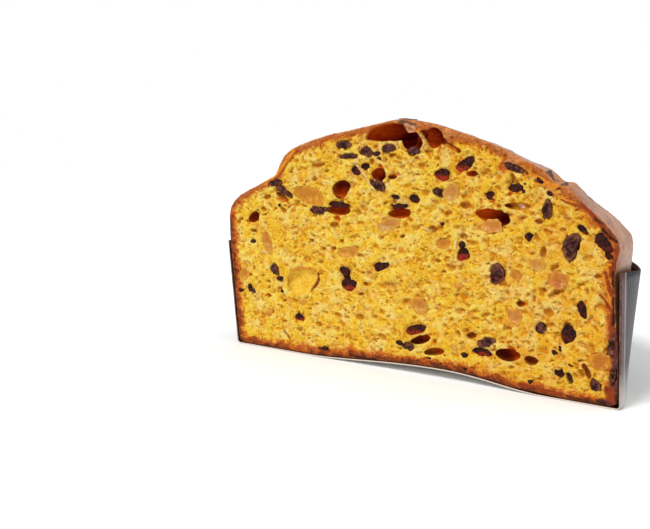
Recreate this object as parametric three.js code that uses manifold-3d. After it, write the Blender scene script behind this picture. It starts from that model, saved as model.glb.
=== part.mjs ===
// Half of a round, domed colomba cake with raisins and candied peel, in its brown paper baking case.
// Millimetres, +Z up. The cut face looks along -Y. While the cake is built, the cut is the plane y = 0,
// x = 0 is the middle of the cut and z = 0 is the surface that the case stands on. The finished group's
// origin is the middle of the underside of the cake's bounding box.

import * as THREE from "three";
import { mergeVertices } from "three/addons/utils/BufferGeometryUtils.js";
import Module from "manifold-3d";

const wasm = await Module();
wasm.setup();
const { lerp, clamp, smoothstep, degToRad } = THREE.MathUtils;

// ---------------------------------------------------------------- driving dimensions

const AXIS_BEHIND_CUT = 12; // the knife passed this far in front of the loaf's axis
const GAP = 0.3; // between neighbouring pieces

const COLUMNS = 64; // steps round the loaf and the case
const PROFILE_STEPS = 32; // steps up the loaf's crust, from its foot to its crown
const FLOOR_RINGS = 4; // rings of the arched floor, which the loaf and the case share
const FLOOR_STEP = 20; // from one such ring to the next

// The crust from the foot to the crown, as [radius, height], on the right and on the left of the cut.
// The crown is torn in a ring: LIP_POINT is the lip outside it and LID_POINT the edge of the risen lid.
const LIP_POINT = 10;
const LID_POINT = 12;
const CROWN_HEIGHT = 126.5;
const CRUST_RIGHT = [
  [107.6, 2.6],
  [107.8, 11],
  [107, 20],
  [106, 29],
  [104.4, 41],
  [103.3, 58],
  [104.3, 70],
  [102.2, 75.5],
  [96.8, 81.8],
  [87.6, 89.8],
  [80.4, 96.6],
  [75.8, 97.2],
  [69.6, 103.2],
  [59, 107.8],
  [43.8, 115.2],
  [19.5, 122.8],
  [0, CROWN_HEIGHT],
];
const CRUST_LEFT = [
  [110.2, 2.6],
  [111.8, 13],
  [113.2, 25],
  [114.4, 38],
  [115.4, 50],
  [116.1, 60],
  [116.4, 70],
  [115, 80],
  [107.4, 87.4],
  [95.6, 92.6],
  [86.4, 97],
  [82, 99.4],
  [76, 110],
  [65, 115.8],
  [45.6, 121],
  [19.5, 124.6],
  [0, CROWN_HEIGHT],
];

// Round the back the crust turns from the right-hand profile to the left-hand one between these azimuths.
const RIGHT_HAND = degToRad(20);
const LEFT_HAND = degToRad(160);
const DOME_LEAN = 14; // the dome sits this far forward of the axis
const LEAN_HEIGHTS = [62, 92]; // between which it comes forward

// The underside is arched: highest a little to the right of the middle, flat towards the rim.
const ARCH_RISE = 4.6;
const ARCH_X = 22;
const ARCH_REACH_LEFT = 85;
const ARCH_REACH_RIGHT = 52;
const ARCH_REACH_BACK = 70;

// Paper case: its radius at the foot and at the rim, smaller on the right than on the left.
const CASE_HEIGHT = 60.5;
const CASE_PAPER = 0.8;
const CASE_FOOT_RADIUS = 107.5;
const CASE_RIM_RADIUS = 112.8;
const CASE_FOOT_SKEW = 4;
const CASE_RIM_SKEW = 4.8;
const CASE_FOOT_CURVE = 1.5; // rounding where the wall meets the floor
const CASE_WALL_RINGS = 3;
// At its right-hand end the wall spreads out at the foot and leans in at the rim.
const CASE_END_SPREAD = 5.4;
const CASE_END_LEAN = -1.8;
const CASE_END_LENGTH = degToRad(11);

// Relief of the crust.
const LOAF_FOOT_CURVE = 3; // rounding of the loaf's lower edge
const CRUST_WAVE = 0.9; // slow swells of the crust above the paper
const LIP_RAGGED = 1.3; // jags of the two edges of the torn ring
const CROWN_SWELL = 1.2; // the crown stands higher over the large bubble
const CROWN_SWELL_X = -8;
const CROWN_SWELL_REACH = 18;

// What the knife opened, as [x, z, length, thickness, slope in degrees, depth behind the cut].
const HOLLOWS = [
  [-9, 120.9, 27, 9, 4, 15], // the large bubble under the crown, in two lobes
  [2.8, 117, 12.6, 9.8, -20, 11],
  [15.2, 118.3, 10, 9.4, -35, 9], // the smaller bubble to its right
  [24.8, 113.8, 11, 2.2, -28, 3],
  [-40, 80.9, 15, 4.8, 2, 6],
  [-38.6, 92.2, 10.8, 9.6, 20, 7],
  [-97.6, 74.8, 8.6, 6, 35, 6],
  [-77.6, 86.9, 9, 3.6, -30, 4],
  [-15.7, 100.4, 8.8, 6.4, 5, 7],
  [-7.8, 99.2, 6, 2.8, 0, 3],
  [-3.3, 81.1, 13.2, 5, 8, 6],
  [46.5, 81.8, 18, 6.6, -8, 8],
  [55.7, 17.2, 12, 6.2, 0, 7],
  [67, 16.2, 7, 5, 0, 5],
  [9.6, 18.2, 12, 4.2, 22, 6],
  [17.4, 13.2, 11, 4, 12, 4],
  [37, 24, 6.2, 3.8, 10, 4],
  [61, 42.2, 4.4, 3.6, 0, 4],
  [-64, 41, 20, 14, 15, 3.4],
  [-54.2, 41.4, 8.4, 3, 62, 4],
  [92.6, 15.2, 8, 2.8, -62, 4],
  [77.2, 49.2, 4.4, 2.8, 0, 3],
  [-53.2, 104.6, 8.6, 2.6, 8, 3],
  [32, 86.7, 6.2, 4, 0, 3],
  [35.2, 101.4, 6.6, 3, 5, 3],
  [15.3, 74.3, 5.2, 4.2, 0, 3],
  [58.2, 87.2, 13, 3.2, 0, 3],
  [-43, 73.3, 5.8, 3.6, 8, 3],
  [68.2, 80.7, 4.6, 3, 0, 3],
  [-88, 86.6, 6.4, 3, 10, 3],
  [70.8, 66.8, 6.8, 3.2, 85, 3],
];

// Fruit that the knife cut, as [x, z, length, thickness, slope in degrees, how far it is sunk].
const RAISINS = [
  [-81.6, 94.6, 8, 3, 5, 0],
  [-75.2, 89.6, 11.5, 2.4, -31, 0],
  [-52.6, 80.6, 10.5, 3.2, 4, 0],
  [-40.5, 84.2, 12.5, 2.8, 0, 0.6],
  [-37, 115.4, 8.5, 3.2, -4, 0],
  [-34.3, 109.3, 9.5, 2, 3, 0],
  [-29.4, 102, 6.4, 4, -20, 0.5],
  [-23.8, 104.2, 5.8, 3.4, -15, 0.5],
  [-23.4, 111.9, 7.4, 3.8, 5, 0],
  [-9.8, 113.2, 8, 2.8, 3, 0],
  [-16, 95, 8, 4, -8, 0],
  [-3.3, 84.7, 9.5, 2.2, 10, 0.5],
  [4.7, 88.6, 5.6, 4, -12, 0.6],
  [4.2, 111.9, 6.4, 2.6, 8, 0],
  [19.7, 100.8, 8.6, 5.4, -8, 0.6],
  [31.6, 105.8, 10.5, 5, 26, 0.6],
  [17.8, 92.2, 5.8, 2.9, -18, 0],
  [44.2, 91.8, 4.8, 3, 15, 0.4],
  [56.8, 95.4, 7.4, 3.6, -5, 0.5],
  [55.2, 104.8, 8.4, 2.8, -22, 0],
  [71.7, 86.2, 8.2, 3.6, 82, 0],
  [83.6, 70, 13, 5.6, 78, 0],
  [63.9, 73.4, 3.8, 3.6, 0, 0.4],
  [87.9, 78.2, 5.8, 2.6, -42, 0.3],
  [97.2, 72.8, 10, 5, -40, 0.2],
  [49.2, 55.4, 8.6, 7.2, 80, 0],
  [31.4, 63.1, 6.8, 6, 20, 0.8],
  [-14.2, 53.4, 8.4, 4.6, 14, 0.4],
  [-36.2, 49.2, 7.4, 4, -4, 0.4],
  [-33.6, 42, 9.4, 6.8, 8, 0.3],
  [-83.2, 46.2, 6.6, 4.6, -40, 0],
  [-99.5, 33, 5.4, 3, -35, 0],
  [-66, 20.6, 6.6, 4, 0, 0.5],
  [6.6, 23, 12, 4.6, 14, 0.5],
  [2.6, 13.4, 6.6, 3, -4, 0],
  [44.6, 21.6, 8.6, 3.4, 16, 0],
  [42.4, 16.6, 9.4, 4.2, -6, 0.6],
  [89.4, 42.6, 9.6, 3, -76, 0.3],
  [71, 32.2, 5.4, 3.8, 50, 0],
  [83.6, 30.8, 9.6, 5.8, 82, 0.6],
  [80.4, 12.4, 4.8, 4, 0, 0.5],
  [96.8, 9.4, 4.8, 4.4, 0, 0],
  [102.9, 28.4, 7.6, 2.8, 86, 0],
  [104.1, 14.8, 7.6, 2.8, 84, 0],
];
const PEEL = [
  [-59, 88.2, 20, 9.6, -12, 0.6],
  [-88, 60.7, 13, 6, -75, 0.5],
  [-105.6, 41.3, 7.4, 6.6, 20, 0.3],
  [24.9, 92.3, 8, 7.4, 30, 0.2],
  [46, 77, 10.5, 5.4, 0, 0],
  [-9.5, 74.8, 13, 5, 20, 0.2],
  [9.1, 35.4, 8.8, 8, 15, 0],
  [78.3, 54.8, 9, 6.6, 15, 0],
  [98, 20.8, 8.2, 7.8, 60, 0],
  [58.4, 55.4, 6, 4.2, -25, 0.3],
  [68.6, 60.8, 7, 5.2, 10, 0],
  [21.2, 67.6, 8, 5, 15, 0.6],
  [58.6, 36.2, 7, 6.2, 0, 0],
  [-34.5, 59.4, 13, 5, 14, 0.4],
];

// The outlines of these openings and fruits are uneven by these shares of their size.
const HOLLOW_LUMPS = 0.05;
const RAISIN_LUMPS = 0.09;
const PEEL_LUMPS = 0.06;

// How a hollow runs in behind the cut, as [share of its depth, share of its outline].
const HOLLOW_RINGS = [
  [0, 1],
  [0.4, 1.1],
  [0.8, 0.8],
  [1, 0],
];
const SMALL_HOLLOW = 7; // up to this length a hollow is plainer
const SMALL_HOLLOW_RINGS = [
  [0, 1],
  [0.8, 0.8],
  [1, 0],
];

// A fruit reaches this far behind the cut, in mean diameters of its outline, and narrows half way.
const FRUIT_DEPTH = 0.7;
const FRUIT_WAIST = 0.86;

// Smaller pores of the crumb are scattered over the cut face by a seeded rule.
const PORES = 44;
const PORE_SEED = 24;
const PORE_LENGTH = [3.2, 6];
const PORE_FLATNESS = [0.45, 0.75];
const PORE_DEPTH = [1.6, 2.8];
const PORE_SLOPE = 25; // degrees either way
const PORE_CLEARANCE = 1.4; // crumb left between a pore and anything else
const CRUST_CLEARANCE = 6; // solid crumb left inside the crust

// ---------------------------------------------------------------- solids

// A closed geometry as a manifold-3d solid.
function solidOf(geometry) {
  const bare = geometry.clone();
  bare.deleteAttribute("normal");
  bare.deleteAttribute("uv");
  const merged = mergeVertices(bare, 1e-4);
  return new wasm.Manifold(
    new wasm.Mesh({
      numProp: 3,
      vertProperties: new Float32Array(merged.attributes.position.array),
      triVerts: new Uint32Array(merged.index.array),
    }),
  );
}

// A manifold-3d solid as a flat-shaded geometry.
function geometryOf(solid) {
  const mesh = solid.getMesh();
  const indexed = new THREE.BufferGeometry();
  indexed.setAttribute("position", new THREE.BufferAttribute(new Float32Array(mesh.vertProperties), 3));
  indexed.setIndex(new THREE.BufferAttribute(new Uint32Array(mesh.triVerts), 1));
  const flat = indexed.toNonIndexed();
  flat.computeVertexNormals();
  return flat;
}

// A closed skin of rings. point(i, angle) gives a point of ring i as a Vector3. The first and the last
// ring are one point each, and the angle turns by the right hand about the way from one to the other.
function skin(rings, columns, point) {
  const points = [point(0, 0)];
  for (let i = 1; i < rings - 1; i++) {
    for (let j = 0; j < columns; j++) {
      points.push(point(i, ((j + 0.5) / columns) * 2 * Math.PI));
    }
  }
  points.push(point(rings - 1, 0));
  const at = (i, j) => 1 + (i - 1) * columns + (j % columns);
  const faces = [];
  for (let j = 0; j < columns; j++) {
    faces.push(0, at(1, j + 1), at(1, j));
    for (let i = 1; i < rings - 2; i++) {
      faces.push(at(i, j), at(i, j + 1), at(i + 1, j + 1));
      faces.push(at(i, j), at(i + 1, j + 1), at(i + 1, j));
    }
    faces.push(at(rings - 2, j), at(rings - 2, j + 1), points.length - 1);
  }
  const geometry = new THREE.BufferGeometry().setFromPoints(points);
  geometry.setIndex(faces);
  return solidOf(geometry);
}

function inFrontOfCut() {
  const size = 4 * CASE_RIM_RADIUS;
  return solidOf(new THREE.BoxGeometry(size, size, size).translate(0, -size / 2, 0));
}

function seededRandom(seed) {
  let state = seed >>> 0;
  return () => {
    state = (Math.imul(state, 1664525) + 1013904223) >>> 0;
    return state / 4294967296;
  };
}

const bell = (t) => Math.exp(-t * t);

// ---------------------------------------------------------------- the round forms

function onAxis(radius, azimuth, height) {
  return new THREE.Vector3(
    radius * Math.cos(azimuth),
    AXIS_BEHIND_CUT + radius * Math.sin(azimuth),
    height,
  );
}

// Height of the arched underside above the surface that the cake stands on.
function arch(radius, azimuth) {
  const across = radius * Math.cos(azimuth) - ARCH_X;
  const back = radius * Math.sin(azimuth);
  const reach = across < 0 ? ARCH_REACH_LEFT : ARCH_REACH_RIGHT;
  const away = Math.hypot(across / reach, back / ARCH_REACH_BACK);
  return away < 1 ? ARCH_RISE * (1 - away * away) ** 2 : 0;
}

// Outer radius of the paper case. Its right-hand end is where the cut meets the wall.
function caseRadius(azimuth, height) {
  const up = height / CASE_HEIGHT;
  const foot = CASE_FOOT_RADIUS - CASE_FOOT_SKEW * Math.cos(azimuth);
  const rim = CASE_RIM_RADIUS - CASE_RIM_SKEW * Math.cos(azimuth);
  const end = Math.asin(-AXIS_BEHIND_CUT / CASE_RIM_RADIUS);
  const turned = Math.atan2(Math.sin(azimuth - end), Math.cos(azimuth - end));
  const bend = lerp(CASE_END_SPREAD, CASE_END_LEAN, Math.min(up, 1));
  return lerp(foot, rim, up) + bend * bell(turned / CASE_END_LENGTH);
}

// Rings of the case: out along its underside, up the outside, over the rim, down the inside and back in.
const CASE_RINGS = 2 * (FLOOR_RINGS + 2 + CASE_WALL_RINGS);

function caseRing(i, azimuth) {
  const outside = i < CASE_RINGS / 2;
  const step = outside ? i : CASE_RINGS - 1 - i;
  const inset = outside ? 0 : CASE_PAPER;
  if (step <= FLOOR_RINGS) {
    const radius = FLOOR_STEP * step;
    return onAxis(radius, azimuth, arch(radius, azimuth) + inset);
  }
  if (step === FLOOR_RINGS + 1) {
    const radius = caseRadius(azimuth, 0) - CASE_FOOT_CURVE - inset / 2;
    return onAxis(radius, azimuth, inset);
  }
  const up = (step - FLOOR_RINGS - 2) / (CASE_WALL_RINGS - 1);
  const height = lerp(CASE_FOOT_CURVE + inset / 2, CASE_HEIGHT, up);
  return onAxis(caseRadius(azimuth, height) - inset, azimuth, height);
}

// The crust's profile at an azimuth, as radius and height, between the right-hand and the left-hand one.
function crustCurve(azimuth) {
  const turned = Math.abs(Math.atan2(Math.sin(azimuth), Math.cos(azimuth)));
  const right = 1 - smoothstep(turned, RIGHT_HAND, LEFT_HAND);
  const points = CRUST_RIGHT.map(([radius, height], i) => {
    const [leftRadius, leftHeight] = CRUST_LEFT[i];
    return new THREE.Vector2(lerp(leftRadius, radius, right), lerp(leftHeight, height, right));
  });
  return new THREE.SplineCurve(points);
}

// A point of the crust, from 0 at the foot to 1 at the crown.
function crustPoint(up, azimuth) {
  const profile = crustCurve(azimuth).getPoint(up);
  const place = up * (CRUST_RIGHT.length - 1);
  const wave = 0.6 * Math.sin(3 * azimuth + 1) + 0.4 * Math.sin(7 * azimuth + 9 * up);
  const jags = 0.5 * Math.sin(17 * azimuth) + 0.5 * Math.sin(29 * azimuth + 2);
  const lips = bell((place - LIP_POINT) / 0.6) - bell((place - LID_POINT) / 0.6);
  const free = smoothstep(profile.y, CASE_HEIGHT, CASE_HEIGHT + 12) * smoothstep(profile.x, 0, 30);
  const relief = free * (CRUST_WAVE * wave + LIP_RAGGED * lips * jags);
  const inCase = caseRadius(azimuth, profile.y) - CASE_PAPER - 2 * GAP;
  const radius = profile.y < CASE_HEIGHT + 2 ? Math.min(profile.x, inCase) : profile.x;
  const point = onAxis(radius + relief, azimuth, profile.y + 0.5 * relief);
  point.y -= DOME_LEAN * smoothstep(profile.y, ...LEAN_HEIGHTS);
  point.z += CROWN_SWELL * bell(Math.hypot(point.x - CROWN_SWELL_X, point.y) / CROWN_SWELL_REACH);
  return point;
}

const LOAF_RINGS = FLOOR_RINGS + 2 + PROFILE_STEPS + 1;

function loafRing(i, azimuth) {
  const clear = CASE_PAPER + GAP;
  if (i <= FLOOR_RINGS) {
    const radius = FLOOR_STEP * i;
    return onAxis(radius, azimuth, arch(radius, azimuth) + clear);
  }
  if (i === FLOOR_RINGS + 1) {
    const foot = crustPoint(0, azimuth);
    const radius = Math.hypot(foot.x, foot.y - AXIS_BEHIND_CUT);
    return onAxis(radius - LOAF_FOOT_CURVE, azimuth, clear);
  }
  return crustPoint((i - FLOOR_RINGS - 2) / PROFILE_STEPS, azimuth);
}

// ---------------------------------------------------------------- what the knife opened

// How far a corner moves when the edges that meet in it, from a and to b, each move out by one.
function mitre(a, corner, b) {
  const outOf = (from, to) => new THREE.Vector2(from.y - to.y, to.x - from.x).normalize();
  const before = outOf(a, corner);
  const after = outOf(corner, b);
  const together = 1 + before.dot(after);
  return before.add(after).divideScalar(together);
}

// A rounded body that opens at the cut, from rings given as [distance behind the cut, share of the
// outline]. Its outline on the cut is an oval with the given lumps, and swell widens it all round.
function body([x, z, length, thickness, slope], rings, swell, lumps) {
  const columns = Math.round(clamp(3 + length, 8, 20));
  const step = (2 * Math.PI) / columns;
  const turn = degToRad(slope);
  const ends = [0, rings.length - 1];
  const outline = (angle) => {
    const lump = 1 + lumps * (Math.sin(2 * angle + x) + Math.sin(3 * angle + z));
    return new THREE.Vector2(length * Math.sin(angle), thickness * Math.cos(angle)).multiplyScalar(lump / 2);
  };
  return skin(rings.length, columns, (i, angle) => {
    const [behind, share] = rings[i];
    const corner = outline(angle);
    const wider = mitre(outline(angle - step), corner, outline(angle + step));
    corner.multiplyScalar(share).addScaledVector(wider, ends.includes(i) ? 0 : swell);
    corner.rotateAround(new THREE.Vector2(), turn);
    return new THREE.Vector3(x + corner.x, behind, z + corner.y);
  });
}

// Rings of a body that opens at the cut reach this far in front of it.
const OPEN_FRONT = -1;

function hollow(row) {
  const [, , length, , , depth] = row;
  const inside = length > SMALL_HOLLOW ? HOLLOW_RINGS : SMALL_HOLLOW_RINGS;
  const rings = inside.map(([behind, share]) => [behind * depth, share]);
  return body(row, [[OPEN_FRONT, 0], [OPEN_FRONT, 1], ...rings], 0, HOLLOW_LUMPS);
}

// The front of a fruit is the plane y = sunk. Its pocket opens at the cut and is GAP wider all round.
function fruit(row, lumps, isPocket) {
  const [, , length, thickness, , sunk] = row;
  const depth = FRUIT_DEPTH * Math.sqrt(length * thickness) + sunk;
  const waist = depth / 2;
  if (isPocket) {
    const back = depth + 2 * GAP;
    const rings = [[OPEN_FRONT, 0], [OPEN_FRONT, 1], [0, 1], [waist, FRUIT_WAIST], [back, 0]];
    return body(row, rings, GAP, lumps);
  }
  const front = lerp(1, FRUIT_WAIST, sunk / waist);
  return body(row, [[sunk, 0], [sunk, front], [waist, FRUIT_WAIST], [depth, 0]], 0, lumps);
}

// The outline of the cut face, from the right foot over the crown to the left foot.
function faceOutline() {
  const steps = 60;
  const side = (azimuth, sign) =>
    Array.from({ length: steps + 1 }, (_, i) => {
      const profile = crustCurve(azimuth).getPoint(i / steps);
      const across = Math.sqrt(Math.max(profile.x ** 2 - AXIS_BEHIND_CUT ** 2, 0));
      return new THREE.Vector2(sign * across, profile.y);
    });
  return [...side(0, 1), ...side(Math.PI, -1).reverse()];
}

function isInside(outline, x, z) {
  let inside = false;
  outline.forEach((a, i) => {
    const b = outline[(i + 1) % outline.length];
    const crosses = a.y > z !== b.y > z && x < a.x + ((b.x - a.x) * (z - a.y)) / (b.y - a.y);
    if (crosses) inside = !inside;
  });
  return inside;
}

// True if a spot of the given radius stays clear of an opening or fruit of the cut face.
function isClearOf([x, z, length, thickness, slope], spotX, spotZ, radius) {
  const turn = degToRad(slope);
  const along = (spotX - x) * Math.cos(turn) + (spotZ - z) * Math.sin(turn);
  const over = (spotZ - z) * Math.cos(turn) - (spotX - x) * Math.sin(turn);
  return Math.hypot(along / (length / 2 + radius), over / (thickness / 2 + radius)) > 1;
}

function scatterPores() {
  const random = seededRandom(PORE_SEED);
  const between = ([low, high]) => lerp(low, high, random());
  const outline = faceOutline();
  const taken = [...HOLLOWS, ...RAISINS, ...PEEL];
  const pores = [];
  while (pores.length < PORES) {
    const x = between([-CASE_RIM_RADIUS, CASE_RIM_RADIUS]);
    const z = between([arch(x, 0) + 2 * CRUST_CLEARANCE, CROWN_HEIGHT]);
    const length = between(PORE_LENGTH);
    const thickness = length * between(PORE_FLATNESS);
    const slope = between([-PORE_SLOPE, PORE_SLOPE]);
    const pore = [x, z, length, thickness, slope, between(PORE_DEPTH)];
    const toCrust = Math.min(...outline.map((p) => Math.hypot(p.x - x, p.y - z)));
    const clear = taken.every((other) => isClearOf(other, x, z, length / 2 + PORE_CLEARANCE));
    if (clear && toCrust > CRUST_CLEARANCE && isInside(outline, x, z)) {
      taken.push(pore);
      pores.push(pore);
    }
  }
  return pores;
}

// ---------------------------------------------------------------- the pieces

const loafFinish = { color: 0xc98f48, roughness: 0.75, metalness: 0 };
const paperFinish = { color: 0x2b211d, roughness: 0.45, metalness: 0 };
const raisinFinish = { color: 0x33191b, roughness: 0.4, metalness: 0 };
const peelFinish = { color: 0xd08a4a, roughness: 0.35, metalness: 0 };

function piece(name, solid, finish) {
  const mesh = new THREE.Mesh(geometryOf(solid), new THREE.MeshStandardMaterial(finish));
  mesh.name = name;
  return mesh;
}

function makeLoaf() {
  const whole = skin(LOAF_RINGS, COLUMNS, loafRing);
  const openings = [...HOLLOWS, ...scatterPores()].map(hollow);
  const raisinPockets = RAISINS.map((row) => fruit(row, RAISIN_LUMPS, true));
  const peelPockets = PEEL.map((row) => fruit(row, PEEL_LUMPS, true));
  const cut = wasm.Manifold.union([inFrontOfCut(), ...openings, ...raisinPockets, ...peelPockets]);
  return piece("loaf", whole.subtract(cut), loafFinish);
}

function makeCase() {
  const whole = skin(CASE_RINGS, COLUMNS, caseRing);
  return piece("paper_case", whole.subtract(inFrontOfCut()), paperFinish);
}

function makeFruits(name, rows, lumps, finish) {
  return rows.map((row, i) => {
    const number = String(i + 1).padStart(2, "0");
    return piece(`${name}_${number}`, fruit(row, lumps, false), finish);
  });
}

const cake = new THREE.Group();
cake.add(
  makeLoaf(),
  makeCase(),
  ...makeFruits("raisin", RAISINS, RAISIN_LUMPS, raisinFinish),
  ...makeFruits("peel", PEEL, PEEL_LUMPS, peelFinish),
);

// The origin goes to the middle of the cake's underside.
const middle = new THREE.Box3().setFromObject(cake).getCenter(new THREE.Vector3());
cake.position.set(-middle.x, -middle.y, 0);

export default cake;
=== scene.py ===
import math

import bpy
import numpy as np
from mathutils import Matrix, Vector
from mathutils.bvhtree import BVHTree


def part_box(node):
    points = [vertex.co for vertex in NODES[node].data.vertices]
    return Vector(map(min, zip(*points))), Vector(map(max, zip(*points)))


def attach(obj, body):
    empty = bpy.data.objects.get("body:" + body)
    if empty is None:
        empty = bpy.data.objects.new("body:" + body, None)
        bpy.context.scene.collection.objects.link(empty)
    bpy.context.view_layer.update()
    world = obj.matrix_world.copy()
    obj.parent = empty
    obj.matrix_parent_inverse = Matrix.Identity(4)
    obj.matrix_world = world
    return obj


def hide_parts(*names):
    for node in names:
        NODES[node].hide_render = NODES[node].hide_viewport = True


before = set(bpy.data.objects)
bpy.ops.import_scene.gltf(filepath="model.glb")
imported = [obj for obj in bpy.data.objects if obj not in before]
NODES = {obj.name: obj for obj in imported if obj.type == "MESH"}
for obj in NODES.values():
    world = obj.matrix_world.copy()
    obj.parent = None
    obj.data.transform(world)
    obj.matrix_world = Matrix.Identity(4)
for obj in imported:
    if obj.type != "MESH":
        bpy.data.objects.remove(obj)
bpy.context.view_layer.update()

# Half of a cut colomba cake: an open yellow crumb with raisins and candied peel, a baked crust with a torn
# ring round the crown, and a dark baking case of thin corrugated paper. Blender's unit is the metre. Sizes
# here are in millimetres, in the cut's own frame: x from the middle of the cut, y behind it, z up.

MM = 0.001

# ---- sizes and places

CUT_MIDDLE = Vector((0.0046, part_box("loaf")[0].y, 0))  # the cut frame's origin in the row frame

LOAF_VOXEL = 0.56
FRUIT_VOXEL = 0.34
LOAF_TRIANGLES = 192000
DEEPEST_OPENING = 16  # nothing that opens at the cut reaches further back
FIELD_X = (-116, 108)  # where on the cut pores may lie
FIELD_Z = (4, 126)

# Holes and pits whose lining is stained, with painted shade on one side and painted light on the other,
# as [x, z, reach, how dark, direction of its redder, painted lit side].
STAINED_AND_SHADED_HOLES = [
    [-11, 120.5, 16.5, 1, 145], [3.4, 116.6, 9.5, 1, 150], [15.2, 118.3, 6.2, 1, -140],
    [23, 114.5, 6, 0.6, -30], [-40, 82, 8, 0.9, -90], [-38.6, 92.2, 6.4, 0.92, -90],
    [-97.6, 74.8, 6, 0.85, -60], [-77.6, 86.9, 5.5, 0.5, -90], [-15.7, 100.4, 6, 0.97, 120],
    [-7.8, 99.2, 4.5, 0.75, 60], [-3.3, 81.8, 7.5, 0.95, -90], [46, 82.6, 11, 0.95, 165],
    [55.7, 17.2, 8, 0.9, 40], [67, 16.2, 4.5, 0.75, 60], [9.6, 19, 8, 0.85, 30], [17.4, 13.2, 7, 0.7, 60],
    [37, 24, 4, 0.5, 0], [61, 42.2, 3, 0.6, 0], [92.6, 15.2, 4, 0.6, 90], [-29.4, 102, 5, 0.97, -120],
    [-23.8, 104.2, 4.5, 0.97, -120], [4.7, 88.6, 4, 1, -90], [19.7, 100.8, 6, 0.95, -150],
    [31.6, 105.8, 7, 0.95, -150], [56.8, 95.4, 5.2, 0.9, -90], [44.2, 91.8, 3.6, 0.8, -90],
    [31.4, 63.1, 5, 0.9, -90], [-14.2, 53.4, 5.6, 0.8, -90], [-35, 45.5, 8, 0.85, -90],
    [-66, 20.6, 4.6, 0.9, -90], [6.6, 23, 7, 0.6, 0], [42.4, 17, 7, 0.8, -90], [83.6, 30.8, 6, 0.85, -60],
    [97.2, 72.8, 6, 0.85, -90], [49.2, 55.4, 5.4, 0.5, -90], [32, 105.4, 8, 0.6, -150],
]

# Shallow amber pits, as [x, z, length, thickness, slope].
AMBER_PITS = [
    [1, 94.7, 6, 3, 5], [-5, 106.3, 6, 1.5, 3], [-2.7, 104, 3, 1.5, 0], [-67.7, 106, 5, 3, 10],
    [-62.7, 102, 6, 3, 6], [-54.3, 58, 3, 2.5, 0], [16.3, 60, 3, 2.5, 0], [8.7, 47, 9, 3, 8],
    [10.3, 41.7, 5, 3, -8], [30.7, 35, 6, 3.5, 4], [-9.7, 44, 14, 4, 6], [-17.3, 27, 5, 3, 0],
    [-33.3, 14, 5, 3, 10], [36, 69.3, 7, 3, -6], [6.3, 74.7, 6, 3, 4], [47, 101.3, 6, 2, -14],
    [81.3, 82.7, 4, 5, 0], [60, 72, 5, 3, 12], [66, 71, 3, 2, 0], [67, 45.3, 2.5, 4, 0],
    [52.3, 44, 4, 2.5, -10], [71.3, 37.3, 4, 3, 0], [-98, 46, 4, 2.6, 60], [-102, 84, 5, 2.4, 40],
    [-20, 88, 6, 2.2, 14], [-68, 70, 9, 2.4, 8], [-30, 68, 8, 2, 10], [14, 84, 7, 2.4, -4],
    [74, 96, 4, 2, -35], [28, 76, 5, 2.2, 8], [88, 52, 3.4, 2.4, 70], [-48, 26, 6, 2.2, 4],
]

# Dark bits and specks of fruit on the cut, as [x, z, length, thickness, slope].
SPECKS = [
    [-5.7, 89.3, 4.4, 2, -10], [-98, 61, 5.2, 2.4, 5], [-79.2, 41.4, 5.6, 2.8, 12],
    [31.2, 67.8, 4, 3.4, 30], [-16.9, 110.6, 5, 2.6, 6], [-2.2, 15.1, 4.8, 2.8, 0],
    [80.4, 24, 2.5, 4, 10], [33.9, 14, 4, 3.4, 20], [67.3, 6.4, 3.5, 2, 0], [-49, 5.6, 6, 2.2, 4],
    [-77.7, 34.3, 2, 2, 0], [-101, 34.7, 4, 4, 0], [-108.7, 32, 2.6, 4, 0], [61.3, 97.3, 2, 1.5, 0],
    [60.8, 94, 2, 2, 0], [78, 21.7, 3, 2.5, 0], [85.3, 16.9, 2.5, 1.4, -20], [20.7, 77.3, 2.5, 2, 0],
    [-79.3, 82.3, 2, 2, 0], [34.3, 7.3, 3, 1.5, 0], [14.7, 9.7, 4, 1.5, 0], [68, 99, 4, 2, -40],
    [72.7, 93.3, 3, 2, -50], [99, 67.5, 2.6, 4, 10],
]

# Pale bits of peel on the cut, as [x, z, length, thickness, slope].
PALE_BITS = [
    [29.7, 47.7, 6, 5, 10], [28.3, 17, 6, 5, 0], [-63.5, 29.8, 7, 5.4, 12], [-87.3, 20.8, 6.4, 5, 20],
]

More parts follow.
